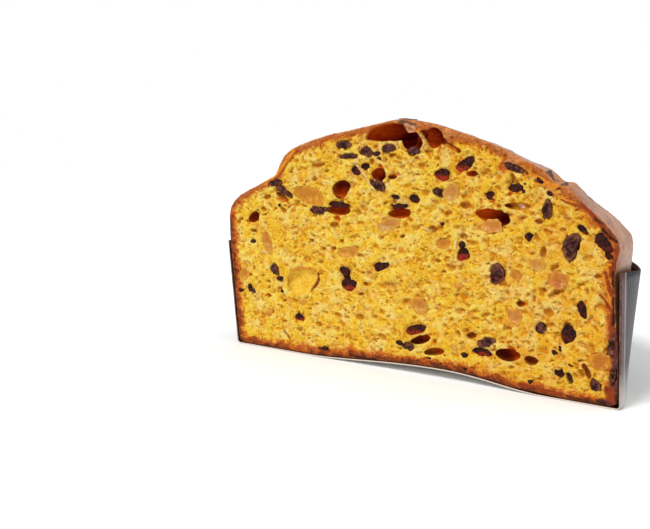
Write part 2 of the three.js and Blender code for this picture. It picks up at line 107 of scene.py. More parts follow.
# Cracks, torn strips, films and dark spots drawn on the cut, a later one over an earlier one, as
# [tint, width, depth (under 0: raised), then x and z of each of its corners].
TINTS = {
    "black": (0.03, 0.003, 0.002),
    "red": (0.3, 0.04, 0.004),
    "maroon": (0.2, 0.012, 0.003),
    "torn": (0.8, 0.27, 0.014),
    "pale": (0.9, 0.6, 0.2),
    "amber": (0.74, 0.33, 0.05),
    "pink": (0.8, 0.4, 0.2),
    "plum": (0.115, 0.034, 0.034),
    "white": (0.93, 0.86, 0.7),
    "grey": (0.105, 0.07, 0.06),
}
# The black strokes are partly painted shade, in cracks and in the gap beside the paper, and partly dark crust
# along the foot; at the crown, deep red and maroon strokes are hole linings darkened as painted shade.
MARKS = [
    ["torn", 3, 0, 100, 63, 100.6, 56, 102, 50],
    ["torn", 1.8, -0.3, 97.6, 58.5, 99.6, 54, 101.4, 49.5, 102.4, 46],
    ["torn", 1.6, -0.2, 96.6, 51.6, 99.6, 48.6, 101.6, 44],
    ["red", 1.1, 0.7, 97, 50.4, 99.6, 47.4, 101.8, 43.4],
    ["red", 2.2, 0.4, 102.8, 44, 102.6, 38, 102.2, 33],
    ["black", 2.4, 1.4, 102.4, 63, 102.2, 58, 103.2, 53, 102.9, 48, 103.3, 44, 103.5, 38],
    ["red", 1.6, 0.9, 98.6, 60, 99.8, 56, 101, 52.4, 102.2, 50], ["red", 1, 0.6, 100.6, 62.5, 101, 58],
    ["pale", 1, -0.4, 104.9, 48.5, 104.1, 45, 104.6, 41, 104.4, 37],
    ["plum", 3, 0.2, 104.4, 33, 103.8, 28, 104.2, 24], ["plum", 2.8, 0.2, 103, 25.5, 104, 23.5],
    ["plum", 3.4, 0.2, 104.9, 21, 105.2, 14, 104.4, 9.5],
    ["black", 0.9, 0.7, 106, 33, 105.2, 27, 106.3, 22, 106.8, 15, 107, 8],
    ["pale", 0.6, -0.2, 106.2, 33, 106.5, 26, 106.9, 19], ["red", 3.4, 0.3, 102.4, 8.5, 104.2, 3],
    ["plum", 1.8, 0.3, 99.6, 3.2, 103.6, 2.4], ["black", 1.6, 0.4, 106.4, 8, 107, 2],
    ["black", 1.4, 0.4, 98, 2.6, 101.5, 1.8], ["black", 2.6, 1.6, 80.4, 12.6, 81, 11.8],
    ["black", 2.2, 1.4, 84.4, 12.4, 86, 9.6], ["red", 1.8, 0.5, 87, 89, 91, 86.2, 94, 82.5, 96.5, 79.5],
    ["black", 0.9, 0.6, 92.5, 84, 95.5, 81], ["black", 1.4, 0.8, 96.6, 78.8, 99.5, 75.8, 102.6, 74],
    ["black", 1.4, 0.6, 99, 68.6, 101.2, 66.6], ["red", 2.6, 0.3, 103, 71, 104, 66, 102.5, 62],
    ["torn", 3, -0.3, 67, 98.4, 72, 97.4, 76.6, 96.4], ["red", 1.6, 0.5, 66, 98.9, 69.4, 98.5],
    ["black", 0.8, 0.6, 76, 95.2, 77.6, 96.2], ["red", 1.6, 0.5, 72.2, 93.6, 74.2, 92.8],
    ["torn", 1.4, 0, 73, 94.8, 79, 91.4, 85, 89.4], ["red", 1, 0.5, 78, 90.6, 82, 89.4, 85.5, 88.6],
    ["torn", 2, 0, 60, 103.5, 66, 101, 70, 99.6], ["black", 1.1, 0.4, 60.5, 103.4, 62.4, 101.8],
    ["torn", 2.4, 0.2, -88.5, 93.5, -80.5, 99.5, -74.5, 106.5, -69, 112.5],
    ["red", 0.8, 0.7, -87.5, 92.5, -79.5, 98.5, -73, 105.8, -67, 112],
    ["red", 2.4, 2, -17, 120.4, -12.5, 123.2, -8, 124.2], ["maroon", 2.6, 2.6, 18.6, 117.6, 20.4, 116.4],
    ["maroon", 2.2, 2.2, -22.4, 118.6, -16, 118.4],
    ["pink", 2.2, -0.2, -0.4, 124.4, 1.6, 123.2, 4.6, 123.6],
    ["grey", 1.5, 0, -3.6, 126.5, 1, 125.9, 5.2, 124.4],
    ["pink", 0.8, -0.3, 0.2, 121.8, 4.5, 121.3, 8, 119, 9.4, 116.4, 8.8, 114, 6.2, 112],
    ["amber", 1.6, 0.2, 10.4, 116.2, 12, 114.8, 14.4, 113.8], ["maroon", 1.8, 2.2, 8.4, 121, 13, 121],
    ["maroon", 2.8, 3.2, 10, 119.4, 12.6, 118.6], ["maroon", 2, 2.4, 11.6, 117.4, 13.2, 116.2],
    ["red", 1.4, 0.8, 20.8, 117.3, 24, 114.2, 28, 111.8], ["torn", 1.2, 0.2, 21.4, 115, 26, 112.2],
    ["pale", 1.3, -0.4, -28.6, 105, -25.5, 101.2, -23, 99.2, -20.8, 95],
    ["plum", 2.8, 0.6, -18, 95.6, -14, 95], ["white", 1.5, -0.5, 58.4, 87.6, 60.3, 87],
    ["pale", 1.6, -0.2, 28, 69.6, 27.4, 66], ["pale", 1.4, -0.2, 46.2, 59.6, 48.6, 60.6],
    ["black", 4.2, 1.4, -35.6, 47.6, -34.4, 45.4], ["red", 1.1, 0.7, -76.6, 11.6, -74.6, 10, -72.6, 7.8],
    ["red", 1.9, 1.4, -53.4, 45.6, -55.6, 41, -58.3, 36.4],
    ["torn", 1.4, 0.4, -72, 46.6, -65, 48.4, -55.5, 48.2], ["pale", 1.6, -0.3, -90.5, 56, -86.5, 55],
    ["pale", 1.4, -0.2, 9, 75, 14, 73.5], ["black", 1.2, 0.4, -53, 5.2, -46, 4.6],
    ["black", 1, 0.5, -33, 4.2, -24, 3.8, -16, 4.4], ["black", 1.1, 0.4, 22, 4.8, 27, 5.4],
    ["red", 1.6, 0.4, 62, 4.4, 72, 3.2, 82, 2.8], ["black", 0.9, 0.4, 84, 2.6, 93, 1.8],
]

# Skins of crumb over the mouths of holes, as x, y and z of each one's four corners in turn.
FILMS = [
    [(-3.2, 0.9, 126.0), (5.8, 0.6, 124.2), (4.8, 1.0, 121.2), (0.4, 1.6, 121.0)],
    [(6.0, 0.5, 121.4), (7.0, 0.9, 122.2), (10.4, 0.9, 117.2), (9.2, 0.4, 116.2)],
    [(-29.0, 0.2, 105.2), (-28.2, 0.4, 105.8), (-20.2, 0.5, 96.2), (-21.2, 0.2, 95.0)],
]

# Dark flakes that stand up where the crust tore, as x, y and height over the crust of their corners.
FLAKES = [
    [(-4.4, 1.0, 0.1), (5.6, 0.8, 0.1), (3.6, 4.4, 0.7), (-1.2, 3.4, 0.3)],
    [(70.2, 1.6, 0.1), (74.8, 1.2, 0.1), (73.0, 3.0, 2.0), (71.6, 3.8, 2.6)],
    [(77.2, 1.4, 0.1), (80.8, 1.2, 0.1), (80.0, 3.2, 1.4), (79.0, 3.8, 1.2)],
]

# A place where the crumb is smooth, pale and translucent though it lies deep, as x, z and reach.
PALE_FLOOR = (-64, 41.5, 11.5)

# Raisins whose lower side is painted red, as light coming through from below.
RAISINS_PAINTED_LIT = [
    "raisin_15", "raisin_16", "raisin_26", "raisin_27", "raisin_30", "raisin_33", "raisin_34", "raisin_37",
]

# The tint of each piece of candied peel, as red, green and blue.
PEEL_TINTS = {
    "peel_01": (0.56, 0.24, 0.01), "peel_02": (0.56, 0.27, 0.04), "peel_03": (0.58, 0.27, 0.03),
    "peel_04": (0.56, 0.345, 0.11), "peel_05": (0.6, 0.27, 0.075), "peel_06": (0.56, 0.335, 0.11),
    "peel_07": (0.52, 0.26, 0.045), "peel_08": (0.44, 0.115, 0.032), "peel_09": (0.42, 0.14, 0.014),
    "peel_10": (0.56, 0.22, 0.018), "peel_11": (0.58, 0.34, 0.08), "peel_12": (0.58, 0.23, 0.012),
    "peel_13": (0.6, 0.25, 0.07), "peel_14": (0.62, 0.28, 0.03),
}
PALE_BIT_TINT = (0.56, 0.27, 0.022)

# ---- numbers and meshes

NOISE_PRIMES = (374761393, 668265263, 2147483629)
NOISE_SCRAMBLE = 1274126177
DEEP_CAVITY = 0.45  # a vertex sunk this far among its neighbours counts as fully sunk


def smoothstep(value, low, high):
    share = np.clip((value - low) / (high - low), 0, 1)
    return share * share * (3 - 2 * share)


def noise(points, size, seed):
    """Smooth noise from -1 to 1 with swells of that size, at points with two or three coordinates.

    Each seed gives a pattern of its own, which is the same on every run."""
    place = points / np.asarray(size, float)
    base = np.floor(place).astype(np.int64)
    part = place - base
    part = part * part * (3 - 2 * part)
    total = np.zeros(points.shape[:-1])
    for corner in np.ndindex(*(2,) * points.shape[-1]):
        key = np.full(points.shape[:-1], seed * NOISE_SCRAMBLE, np.int64)
        weight = np.ones(points.shape[:-1])
        for axis, prime in zip(range(points.shape[-1]), NOISE_PRIMES):
            key = key + (base[..., axis] + corner[axis]) * prime
            weight = weight * (part[..., axis] if corner[axis] else 1 - part[..., axis])
        key = (key ^ (key >> 13)) * NOISE_SCRAMBLE
        total += weight * (((key ^ (key >> 16)) & 0xFFFF) / 32767.5 - 1)
    return total


def layered_noise(points, size, seed, layers=3):
    size = np.asarray(size, float)
    return sum(noise(points, size / 2**i, seed + i) / 2**i for i in range(layers)) / (2 - 2.0 ** (1 - layers))


def read_rows(items, name, width=1, kind=np.float32):
    """A value of every item of a mesh, as one row of numbers for each."""
    flat = np.empty(width * len(items), kind)
    items.foreach_get(name, flat)
    return flat.reshape(-1, width)


def cut_points(obj):
    """The vertices of a mesh in the cut's frame, in millimetres."""
    return (read_rows(obj.data.vertices, "co", 3).astype(float) - np.array(CUT_MIDDLE)) / MM


def move_to(obj, points):
    flat = points * MM + np.array(CUT_MIDDLE)
    obj.data.vertices.foreach_set("co", flat.astype(np.float32).ravel())
    obj.data.update()


def vertex_normals(obj):
    return read_rows(obj.data.vertex_normals, "vector", 3).astype(float)


def set_attribute(obj, name, values):
    layer = obj.data.attributes.new(name, "FLOAT", "POINT")
    layer.data.foreach_set("value", np.asarray(values, np.float32))


def set_tint(obj, name, colors):
    layer = obj.data.attributes.new(name, "FLOAT_COLOR", "POINT")
    rgba = np.ones((len(colors), 4), np.float32)
    rgba[:, :3] = colors
    layer.data.foreach_set("color", rgba.ravel())


def neighbour_mean(obj, values):
    """The mean of each vertex's neighbours, of values with one row a vertex."""
    a, b = read_rows(obj.data.edges, "vertices", 2, np.int32).T
    count = len(values)
    degree = np.bincount(a, minlength=count) + np.bincount(b, minlength=count)
    sums = [np.bincount(a, column[b], count) + np.bincount(b, column[a], count) for column in values.T]
    return np.stack(sums, axis=1) / degree[:, None]


def cavity_of(obj):
    """How far each vertex lies sunk (over 0) or raised (under 0) among its neighbours, from -1 to 1."""
    points = cut_points(obj)
    mean = neighbour_mean(obj, neighbour_mean(obj, points))
    sunk = np.einsum("ij,ij->i", mean - points, vertex_normals(obj))
    return np.clip(sunk / DEEP_CAVITY, -1, 1)


def select_only(*objects):
    bpy.ops.object.select_all(action="DESELECT")
    for obj in objects:
        obj.select_set(True)
    bpy.context.view_layer.objects.active = objects[0]


def apply_modifier(obj, kind, **values):
    select_only(obj)
    modifier = obj.modifiers.new(kind.lower(), kind)
    for key, value in values.items():
        setattr(modifier, key, value)
    bpy.ops.object.modifier_apply(modifier=modifier.name)


def merge_close(obj, distance):
    select_only(obj)
    bpy.ops.object.mode_set(mode="EDIT")
    bpy.ops.mesh.select_all(action="SELECT")
    bpy.ops.mesh.remove_doubles(threshold=distance)
    bpy.ops.object.mode_set(mode="OBJECT")


def remesh(obj, voxel):
    apply_modifier(obj, "REMESH", mode="VOXEL", voxel_size=voxel * MM, use_smooth_shade=True)


def merged_copy(node, name):
    """A copy of a CAD node with its loose triangles merged into one closed mesh."""
    obj = NODES[node].copy()
    obj.data = NODES[node].data.copy()
    obj.name = obj.data.name = name
    obj.parent = None
    for key in list(obj.keys()):
        del obj[key]
    bpy.context.scene.collection.objects.link(obj)
    obj.data.materials.clear()
    merge_close(obj, 0.001 * MM)
    return obj


def new_grid(columns, rows):
    """A new grid and how far across and up it each of its vertices lies, from -1 to 1."""
    bpy.ops.object.select_all(action="DESELECT")
    bpy.ops.mesh.primitive_grid_add(x_subdivisions=columns, y_subdivisions=rows, size=2)
    grid = bpy.context.object
    across, up, _ = read_rows(grid.data.vertices, "co", 3).T
    return grid, across, up


def join_pieces(made, name):
    select_only(*made)
    bpy.ops.object.join()
    made[0].name = made[0].data.name = name
    return made[0]


def shade_smooth(obj):
    select_only(obj)
    bpy.ops.object.shade_smooth()


def finish_piece(obj, slot, *materials, replaces=()):
    for material in materials:
        obj.data.materials.append(material)
    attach(obj, "root")
    if replaces:
        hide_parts(*replaces)


# ---- materials


class Nodes:
    """The nodes of a material or a group: its methods add nodes to it and link them."""

    def __init__(self, tree):
        self.tree = tree

    def add(self, kind, settings=None, **inputs):
        node = self.tree.nodes.new(kind)
        for key, value in (settings or {}).items():
            setattr(node, key, value)
        for key, value in inputs.items():
            self.put(node.inputs[key.replace("_", " ")], value)
        return node

    def put(self, socket, value):
        if isinstance(value, bpy.types.NodeSocket):
            self.tree.links.new(value, socket)
        else:
            socket.default_value = value

    def place(self, stretch):
        place = self.add("ShaderNodeTexCoord").outputs["Object"]
        if stretch:
            place = self.add("ShaderNodeMapping", Vector=place, Scale=stretch).outputs["Vector"]
        return place

    def attribute(self, name, output="Fac"):
        return self.add("ShaderNodeAttribute", {"attribute_name": name}).outputs[output]

    def tint(self, name):
        return self.attribute(name, "Color")

    def noise(self, size, detail=3.0, distortion=0.0, roughness=0.55, stretch=None):
        made = self.add("ShaderNodeTexNoise", Vector=self.place(stretch), Scale=1 / (size * MM))
        self.put(made.inputs["Detail"], detail)
        self.put(made.inputs["Distortion"], distortion)
        self.put(made.inputs["Roughness"], roughness)
        return made.outputs["Fac"]

    def cells(self, size, stretch=None):
        made = self.add("ShaderNodeTexVoronoi", Vector=self.place(stretch), Scale=1 / (size * MM))
        return made.outputs["Distance"]

    def span(self, value, low, high, to_low=0.0, to_high=1.0):
        made = self.add("ShaderNodeMapRange", Value=value, From_Min=low, From_Max=high, To_Min=to_low)
        self.put(made.inputs["To Max"], to_high)
        return made.outputs["Result"]

    def math(self, operation, a, b):
        made = self.add("ShaderNodeMath", {"operation": operation})
        self.put(made.inputs[0], a)
        self.put(made.inputs[1], b)
        return made.outputs["Value"]

    def plus(self, a, b):
        return self.math("ADD", a, b)

    def times(self, a, b):
        return self.math("MULTIPLY", a, b)

    def ramp(self, value, *stops):
        made = self.add("ShaderNodeValToRGB", Fac=value)
        elements = made.color_ramp.elements
        while len(elements) < len(stops):
            elements.new(1.0)
        for element, (place, color) in zip(elements, stops):
            element.position = place
            element.color = (*color, 1)
        return made.outputs["Color"]

    def mix(self, share, a, b, blend="MIX"):
        made = self.add("ShaderNodeMix", {"data_type": "RGBA", "blend_type": blend})
        self.put(made.inputs[0], share)
        self.put(made.inputs[6], (*a, 1) if isinstance(a, tuple) else a)
        self.put(made.inputs[7], (*b, 1) if isinstance(b, tuple) else b)
        return made.outputs[2]

    def bump(self, height, distance, strength=1.0):
        made = self.add("ShaderNodeBump", Height=height, Distance=distance * MM, Strength=strength)
        return made.outputs["Normal"]


NOISE_INPUTS = ("Scale", "Detail", "Distortion", "Roughness")
MOTTLE_INPUTS = (*NOISE_INPUTS, "Low", "High", "Dark", "Light")


def make_mottle():
    """Group: mottling between two tints, with its height, for the raisins, the films and the papers."""
    group = bpy.data.node_groups.new("mottle", "ShaderNodeTree")
    group.interface.new_socket(name="Place", in_out="INPUT", socket_type="NodeSocketVector")
    for name in MOTTLE_INPUTS:
        kind = "NodeSocketColor" if name in ("Dark", "Light") else "NodeSocketFloat"
        group.interface.new_socket(name=name, in_out="INPUT", socket_type=kind)
    group.interface.new_socket(name="Color", in_out="OUTPUT", socket_type="NodeSocketColor")
    group.interface.new_socket(name="Height", in_out="OUTPUT", socket_type="NodeSocketFloat")
    n = Nodes(group)
    given = n.add("NodeGroupInput").outputs
    texture = n.add("ShaderNodeTexNoise", Vector=given["Place"])
    for name in NOISE_INPUTS:
        n.put(texture.inputs[name], given[name])
    height = texture.outputs["Fac"]
    color = n.mix(n.span(height, given["Low"], given["High"]), given["Dark"], given["Light"])
    n.add("NodeGroupOutput", Color=color, Height=height)
    return group


MOTTLE = make_mottle()


class Finish(Nodes):
    """One new material, its shader and the groups that it shares with others."""

    def __init__(self, name):
        self.material = bpy.data.materials.new(name)
        self.material.use_nodes = True
        super().__init__(self.material.node_tree)

    def mottle(self, low, high, dark, light, size, detail=3.0, distortion=0.0, roughness=0.55, stretch=None):
        """Mottling of that size in millimetres: its colour and its height."""
        made = self.add("ShaderNodeGroup", {"node_tree": MOTTLE}, Place=self.place(stretch))
        values = 1 / (size * MM), detail, distortion, roughness, low, high, (*dark, 1), (*light, 1)
        for name, value in zip(MOTTLE_INPUTS, values):
            self.put(made.inputs[name], value)
        return made.outputs["Color"], made.outputs["Height"]

    def surface(self, color, roughness, normal=None, specular=0.5, scatter=None):
        """Sets the shader. scatter is how much light goes in, how far its red, green and blue get, and the
        size of that in millimetres."""
        inputs = self.tree.nodes["Principled BSDF"].inputs
        self.put(inputs["Base Color"], color)
        self.put(inputs["Roughness"], roughness)
        inputs["Specular IOR Level"].default_value = specular
        if normal is not None:
            self.put(inputs["Normal"], normal)
        if scatter:
            weight, radius, size = scatter
            inputs["Subsurface Weight"].default_value = weight
            inputs["Subsurface Radius"].default_value = radius
            inputs["Subsurface Scale"].default_value = size * MM
        return self.material


CRUMB_YELLOW = (0.86, 0.44, 0.006)
CRUMB_PALE = (0.92, 0.63, 0.045)
CRUMB_WHITE = (0.94, 0.74, 0.19)
CRUMB_AMBER = (0.66, 0.205, 0.003)
# Deep in pores the crumb is painted brown as shade; stained linings are painted dark on their shaded side and
# red, then amber, on their lit side.
CRUMB_BROWN = (0.32, 0.040, 0.002)
STAIN_IN_SHADE = (0.13, 0.002, 0.001)
STAIN_LIT = (0.60, 0.062, 0.002)
STAIN_BRIGHTLY_LIT = (0.88, 0.16, 0.004)
PORE_STRETCH = (0.8, 1, 1.1)


def make_crumb():
    """Yellow crumb: paler on its films, painted amber in its pores as shade, brown towards the crust and
    where stained.
    """
    n = Finish("yellow_crumb")
    patches = n.noise(13.0)
    lumps = n.noise(3.4, 5.0, 0.6, 0.6, PORE_STRETCH)
    films = n.noise(1.5, 5.0, 1.2, 0.7, (0.85, 1, 1.1))
    dots = n.cells(1.9, PORE_STRETCH)
    warm = n.plus(n.attribute("warm"), n.span(patches, 0.35, 0.65, -0.5, 0.5))
    shade = n.plus(n.times(lumps, 0.5), n.times(films, 0.5))
    stops = (0.40, CRUMB_AMBER), (0.46, CRUMB_YELLOW), (0.54, CRUMB_PALE), (0.64, CRUMB_WHITE)
    body = n.ramp(shade, *stops)
    body = n.mix(n.span(warm, 0.1, 1.2, 0.0, 0.7), body, (0.80, 0.31, 0.004))
    veil = n.noise(7.5, 4.0, 0.5)
    body = n.mix(n.span(veil, 0.50, 0.66, 0.0, 0.7), body, (0.92, 0.70, 0.20))
    body = n.mix(n.span(veil, 0.46, 0.34, 0.0, 0.6), body, (0.88, 0.50, 0.006))
    dot = n.times(n.span(dots, 0.12, 0.3, 0.9, 0.0), n.span(lumps, 0.60, 0.48))
    body = n.mix(dot, body, (0.50, 0.12, 0.004))
    # Painted shade darkens the crumb where it is sunk among its neighbours, and a painted highlight pales it
    # where raised.
    cavity = n.attribute("cavity")
    body = n.mix(n.span(cavity, 0.1, 0.95, 0.0, 0.7), body, (0.62, 0.18, 0.002))
    body = n.mix(n.span(cavity, -0.1, -0.8, 0.0, 0.45), body, CRUMB_WHITE)
    # Painted shade: the further back into a pore, the more amber and then brown.
    depth = n.attribute("pore_depth")
    body = n.mix(n.span(depth, 0.4, 2.2, 0.0, 0.7), body, CRUMB_AMBER)
    body = n.mix(n.span(depth, 2.0, 7.0, 0.0, 0.8), body, CRUMB_BROWN)
    # Towards the crust the crumb is baked, in uneven patches.
    coarse = n.span(lumps, 0.3, 0.7, -2.1, 2.1)
    patchy = n.plus(n.plus(n.attribute("crust_depth"), coarse), n.span(films, 0.3, 0.7, -1.2, 1.2))
    baked = n.ramp(
        n.span(patchy, -0.4, 5.8),
        (0.0, (0.10, 0.008, 0.002)),
        (0.2, (0.27, 0.030, 0.003)),
        (0.42, (0.50, 0.085, 0.005)),
        (0.74, (0.68, 0.19, 0.006)),
        (1.0, (0.82, 0.37, 0.006)),
    )
    bright = n.times(n.attribute("high"), n.span(patchy, 2.6, 0.0))
    crumbs = n.mix(n.span(films, 0.38, 0.56), (0.42, 0.085, 0.012), (0.78, 0.31, 0.095))
    baked = n.mix(bright, baked, crumbs)
    body = n.mix(n.span(patchy, 3.2, 6.4, 0.95, 0.0), body, baked)
    smooth = n.mix(n.span(lumps, 0.35, 0.6), (0.93, 0.47, 0.02), (1.0, 0.66, 0.07))
    body = n.mix(n.attribute("pale"), body, smooth)
    grain = n.noise(0.5, 3.0, 0.0, 0.6)
    body = n.mix(1.0, body, n.span(grain, 0.32, 0.68, 0.74, 1.13), "MULTIPLY")
    # Painted light and shade in stained linings: dark on the shaded side, red on the lit side, amber where
    # most lit.
    lit = n.plus(n.attribute("painted_lit_side"), n.span(lumps, 0.3, 0.7, -0.2, 0.2))
    stain_and_shade = n.attribute("stain_and_shade")
    lining = n.mix(n.span(lit, 0.15, 0.75), STAIN_IN_SHADE, STAIN_LIT)
    lining = n.mix(n.span(lit, 0.75, 1.25), lining, STAIN_BRIGHTLY_LIT)
    body = n.mix(stain_and_shade, body, lining)
    grainy = n.times(n.attribute("mark"), n.span(films, 0.28, 0.46, 0.55, 1.0))
    body = n.mix(grainy, body, n.tint("mark_tint"))
    # A painted sheen: a faint grey reflection added to the colour pales all but the stains, whose linings
    # stay deep in colour.
    body = n.mix(n.span(stain_and_shade, 0.0, 1.0, 1.0, 0.0), body, (0.009, 0.009, 0.009), "ADD")
    fine = n.math("SUBTRACT", films, n.times(dot, 0.5))
    return n.surface(body, 0.55, n.bump(fine, 1.15), 0.05, (0.15, (1.0, 0.5, 0.12), 1.2))


CRUST_BROWN = ((0.235, 0.082, 0.034), (0.45, 0.215, 0.115))
CRUST_SHEEN = ((0.34, 0.160, 0.098), (0.60, 0.36, 0.26))
CRUST_TORN = ((0.20, 0.045, 0.010), (0.62, 0.25, 0.055))
CRUST_EDGE = ((0.21, 0.035, 0.009), (0.58, 0.22, 0.075))
CRUST_IN_CASE = ((0.16, 0.05, 0.018), (0.30, 0.12, 0.045))


def make_crust():
    """Baked crust: brown in patches, with a painted pinkish sheen seen aslant, orange and crumbly where it
    tore.
    """
    n = Finish("baked_crust")
    patches = n.noise(16.0, 4.0, 0.4)
    blisters = n.noise(2.4, 5.0, 0.3)
    grain = n.noise(0.7)
    tan = n.mix(n.span(patches, 0.32, 0.66), *CRUST_BROWN)
    # Painted sheen: the colour is palest where the crust is seen aslant.
    aslant = n.add("ShaderNodeLayerWeight").outputs["Facing"]
    tan = n.mix(n.span(aslant, 0.35, 0.9, 0.0, 0.85), tan, n.mix(n.span(patches, 0.32, 0.66), *CRUST_SHEEN))
    tan = n.mix(n.span(blisters, 0.52, 0.72, 0.0, 0.6), tan, (0.12, 0.028, 0.010))
    color = n.mix(n.attribute("torn"), tan, n.mix(n.span(blisters, 0.34, 0.6), *CRUST_TORN))
    near = n.times(n.attribute("near_cut"), n.span(blisters, 0.35, 0.6, 0.35, 1.0))
    color = n.mix(near, color, n.mix(n.span(grain, 0.4, 0.6), *CRUST_EDGE))
    color = n.mix(n.attribute("scorched"), color, (0.040, 0.022, 0.018))
    color = n.mix(n.attribute("in_case"), color, n.mix(n.span(blisters, 0.4, 0.6), *CRUST_IN_CASE))
    relief = n.plus(blisters, n.times(grain, 0.25))
    shine = n.span(blisters, 0.3, 0.7, 0.36, 0.6)
    return n.surface(color, shine, n.bump(relief, 0.7, 0.7), scatter=(0.05, (1.0, 0.5, 0.25), 1.0))


def make_raisin():
    """Raisin: nearly black and moist, painted red on its lower side as light coming through, violet where the
    knife went through.
    """
    n = Finish("raisin_skin_and_flesh")
    skin, mottle = n.mottle(0.42, 0.72, (0.006, 0.001, 0.001), (0.085, 0.008, 0.004), 1.7, 5.0, 0.6, 0.6)
    # Painted light: the lower side is painted red, as lit through from below.
    painted_glow = n.times(n.attribute("painted_glow"), n.span(mottle, 0.34, 0.54))
    skin = n.mix(painted_glow, skin, (0.36, 0.024, 0.003))
    flesh = n.mix(n.span(mottle, 0.44, 0.66), (0.014, 0.001, 0.001), (0.155, 0.048, 0.038))
    cut = n.attribute("cut_flesh")
    color = n.mix(n.attribute("crumb_film"), n.mix(cut, skin, flesh), (0.40, 0.135, 0.045))
    return n.surface(color, n.span(cut, 0.0, 1.0, 0.34, 0.6), n.bump(mottle, 0.9), 0.13)


def make_peel():
    """Candied peel, soaked with syrup; each piece has its own tint."""
    n = Finish("candied_peel")
    mottle = n.noise(2.2, 5.0, 0.4, 0.6)
    color = n.mix(n.span(mottle, 0.54, 0.36, 0.0, 0.7), n.tint("tint"), (0.45, 0.13, 0.012))
    color = n.mix(n.span(mottle, 0.53, 0.68, 0.0, 0.6), color, (0.76, 0.47, 0.12))
    color = n.mix(n.times(n.attribute("shaded"), 0.7), color, (0.42, 0.14, 0.008))
    color = n.mix(n.attribute("crumb_film"), color, (0.66, 0.30, 0.012))
    return n.surface(color, 0.5, n.bump(mottle, 0.5, 0.9), 0.18, (0.3, (1.0, 0.5, 0.2), 2.0))


def make_film(name, dark, light):
    """Thin skin of crumb or crust that some light comes through, mottled between two tints."""
    n = Finish(name)
    color, mottle = n.mottle(0.36, 0.64, dark, light, 1.6, 4.0, 0.4)
    return n.surface(color, 0.45, n.bump(mottle, 0.4, 0.8), scatter=(0.3, (1.0, 0.5, 0.2), 1.0))


def make_paper(name, dark, light, roughness, foot=None, hem=None):
    """Paper between two tints. foot is the tint of a painted reflection of the floor near its foot and
    underneath, hem the two of its worn end and one of a painted highlight along the fold beside that."""
    n = Finish(name)
    color, fibres = n.mottle(0.35, 0.7, dark, light, 1.1, 4.0, stretch=(1, 1, 0.4))
    if hem:
        specks = n.noise(0.8)
        color = n.mix(n.attribute("hem"), color, n.mix(n.span(specks, 0.4, 0.6), *hem[:2]))
        color = n.mix(n.attribute("painted_fold_highlight"), color, hem[2])
    if foot:
        color = n.mix(n.attribute("near_foot"), color, foot)
    return n.surface(color, roughness, n.bump(fibres, 0.08, 0.6), 0.3)


# ---- relief of the cut face

CELL = 0.22
FACE_X = (-122, 114)
FACE_Z = (-3, 132)
FACE_SEED = 5
FRUIT_REACH = 1.5  # up to this distance from fruit the crumb knows of it
# Pores by size, as [how many, shortest, longest, shallowest, deepest].
PORE_SIZES = [
    [3600, 0.8, 1.9, 0.25, 0.6],
    [1700, 1.7, 4.0, 0.6, 1.7],
    [260, 3.2, 6.0, 1.0, 2.4],
]
NEAR_CRUST = 12  # nearer to the crust than this, pores are smaller and run along it
OUTLINE_CENTRE = (0, 48)
OUTLINE_SECTORS = 240


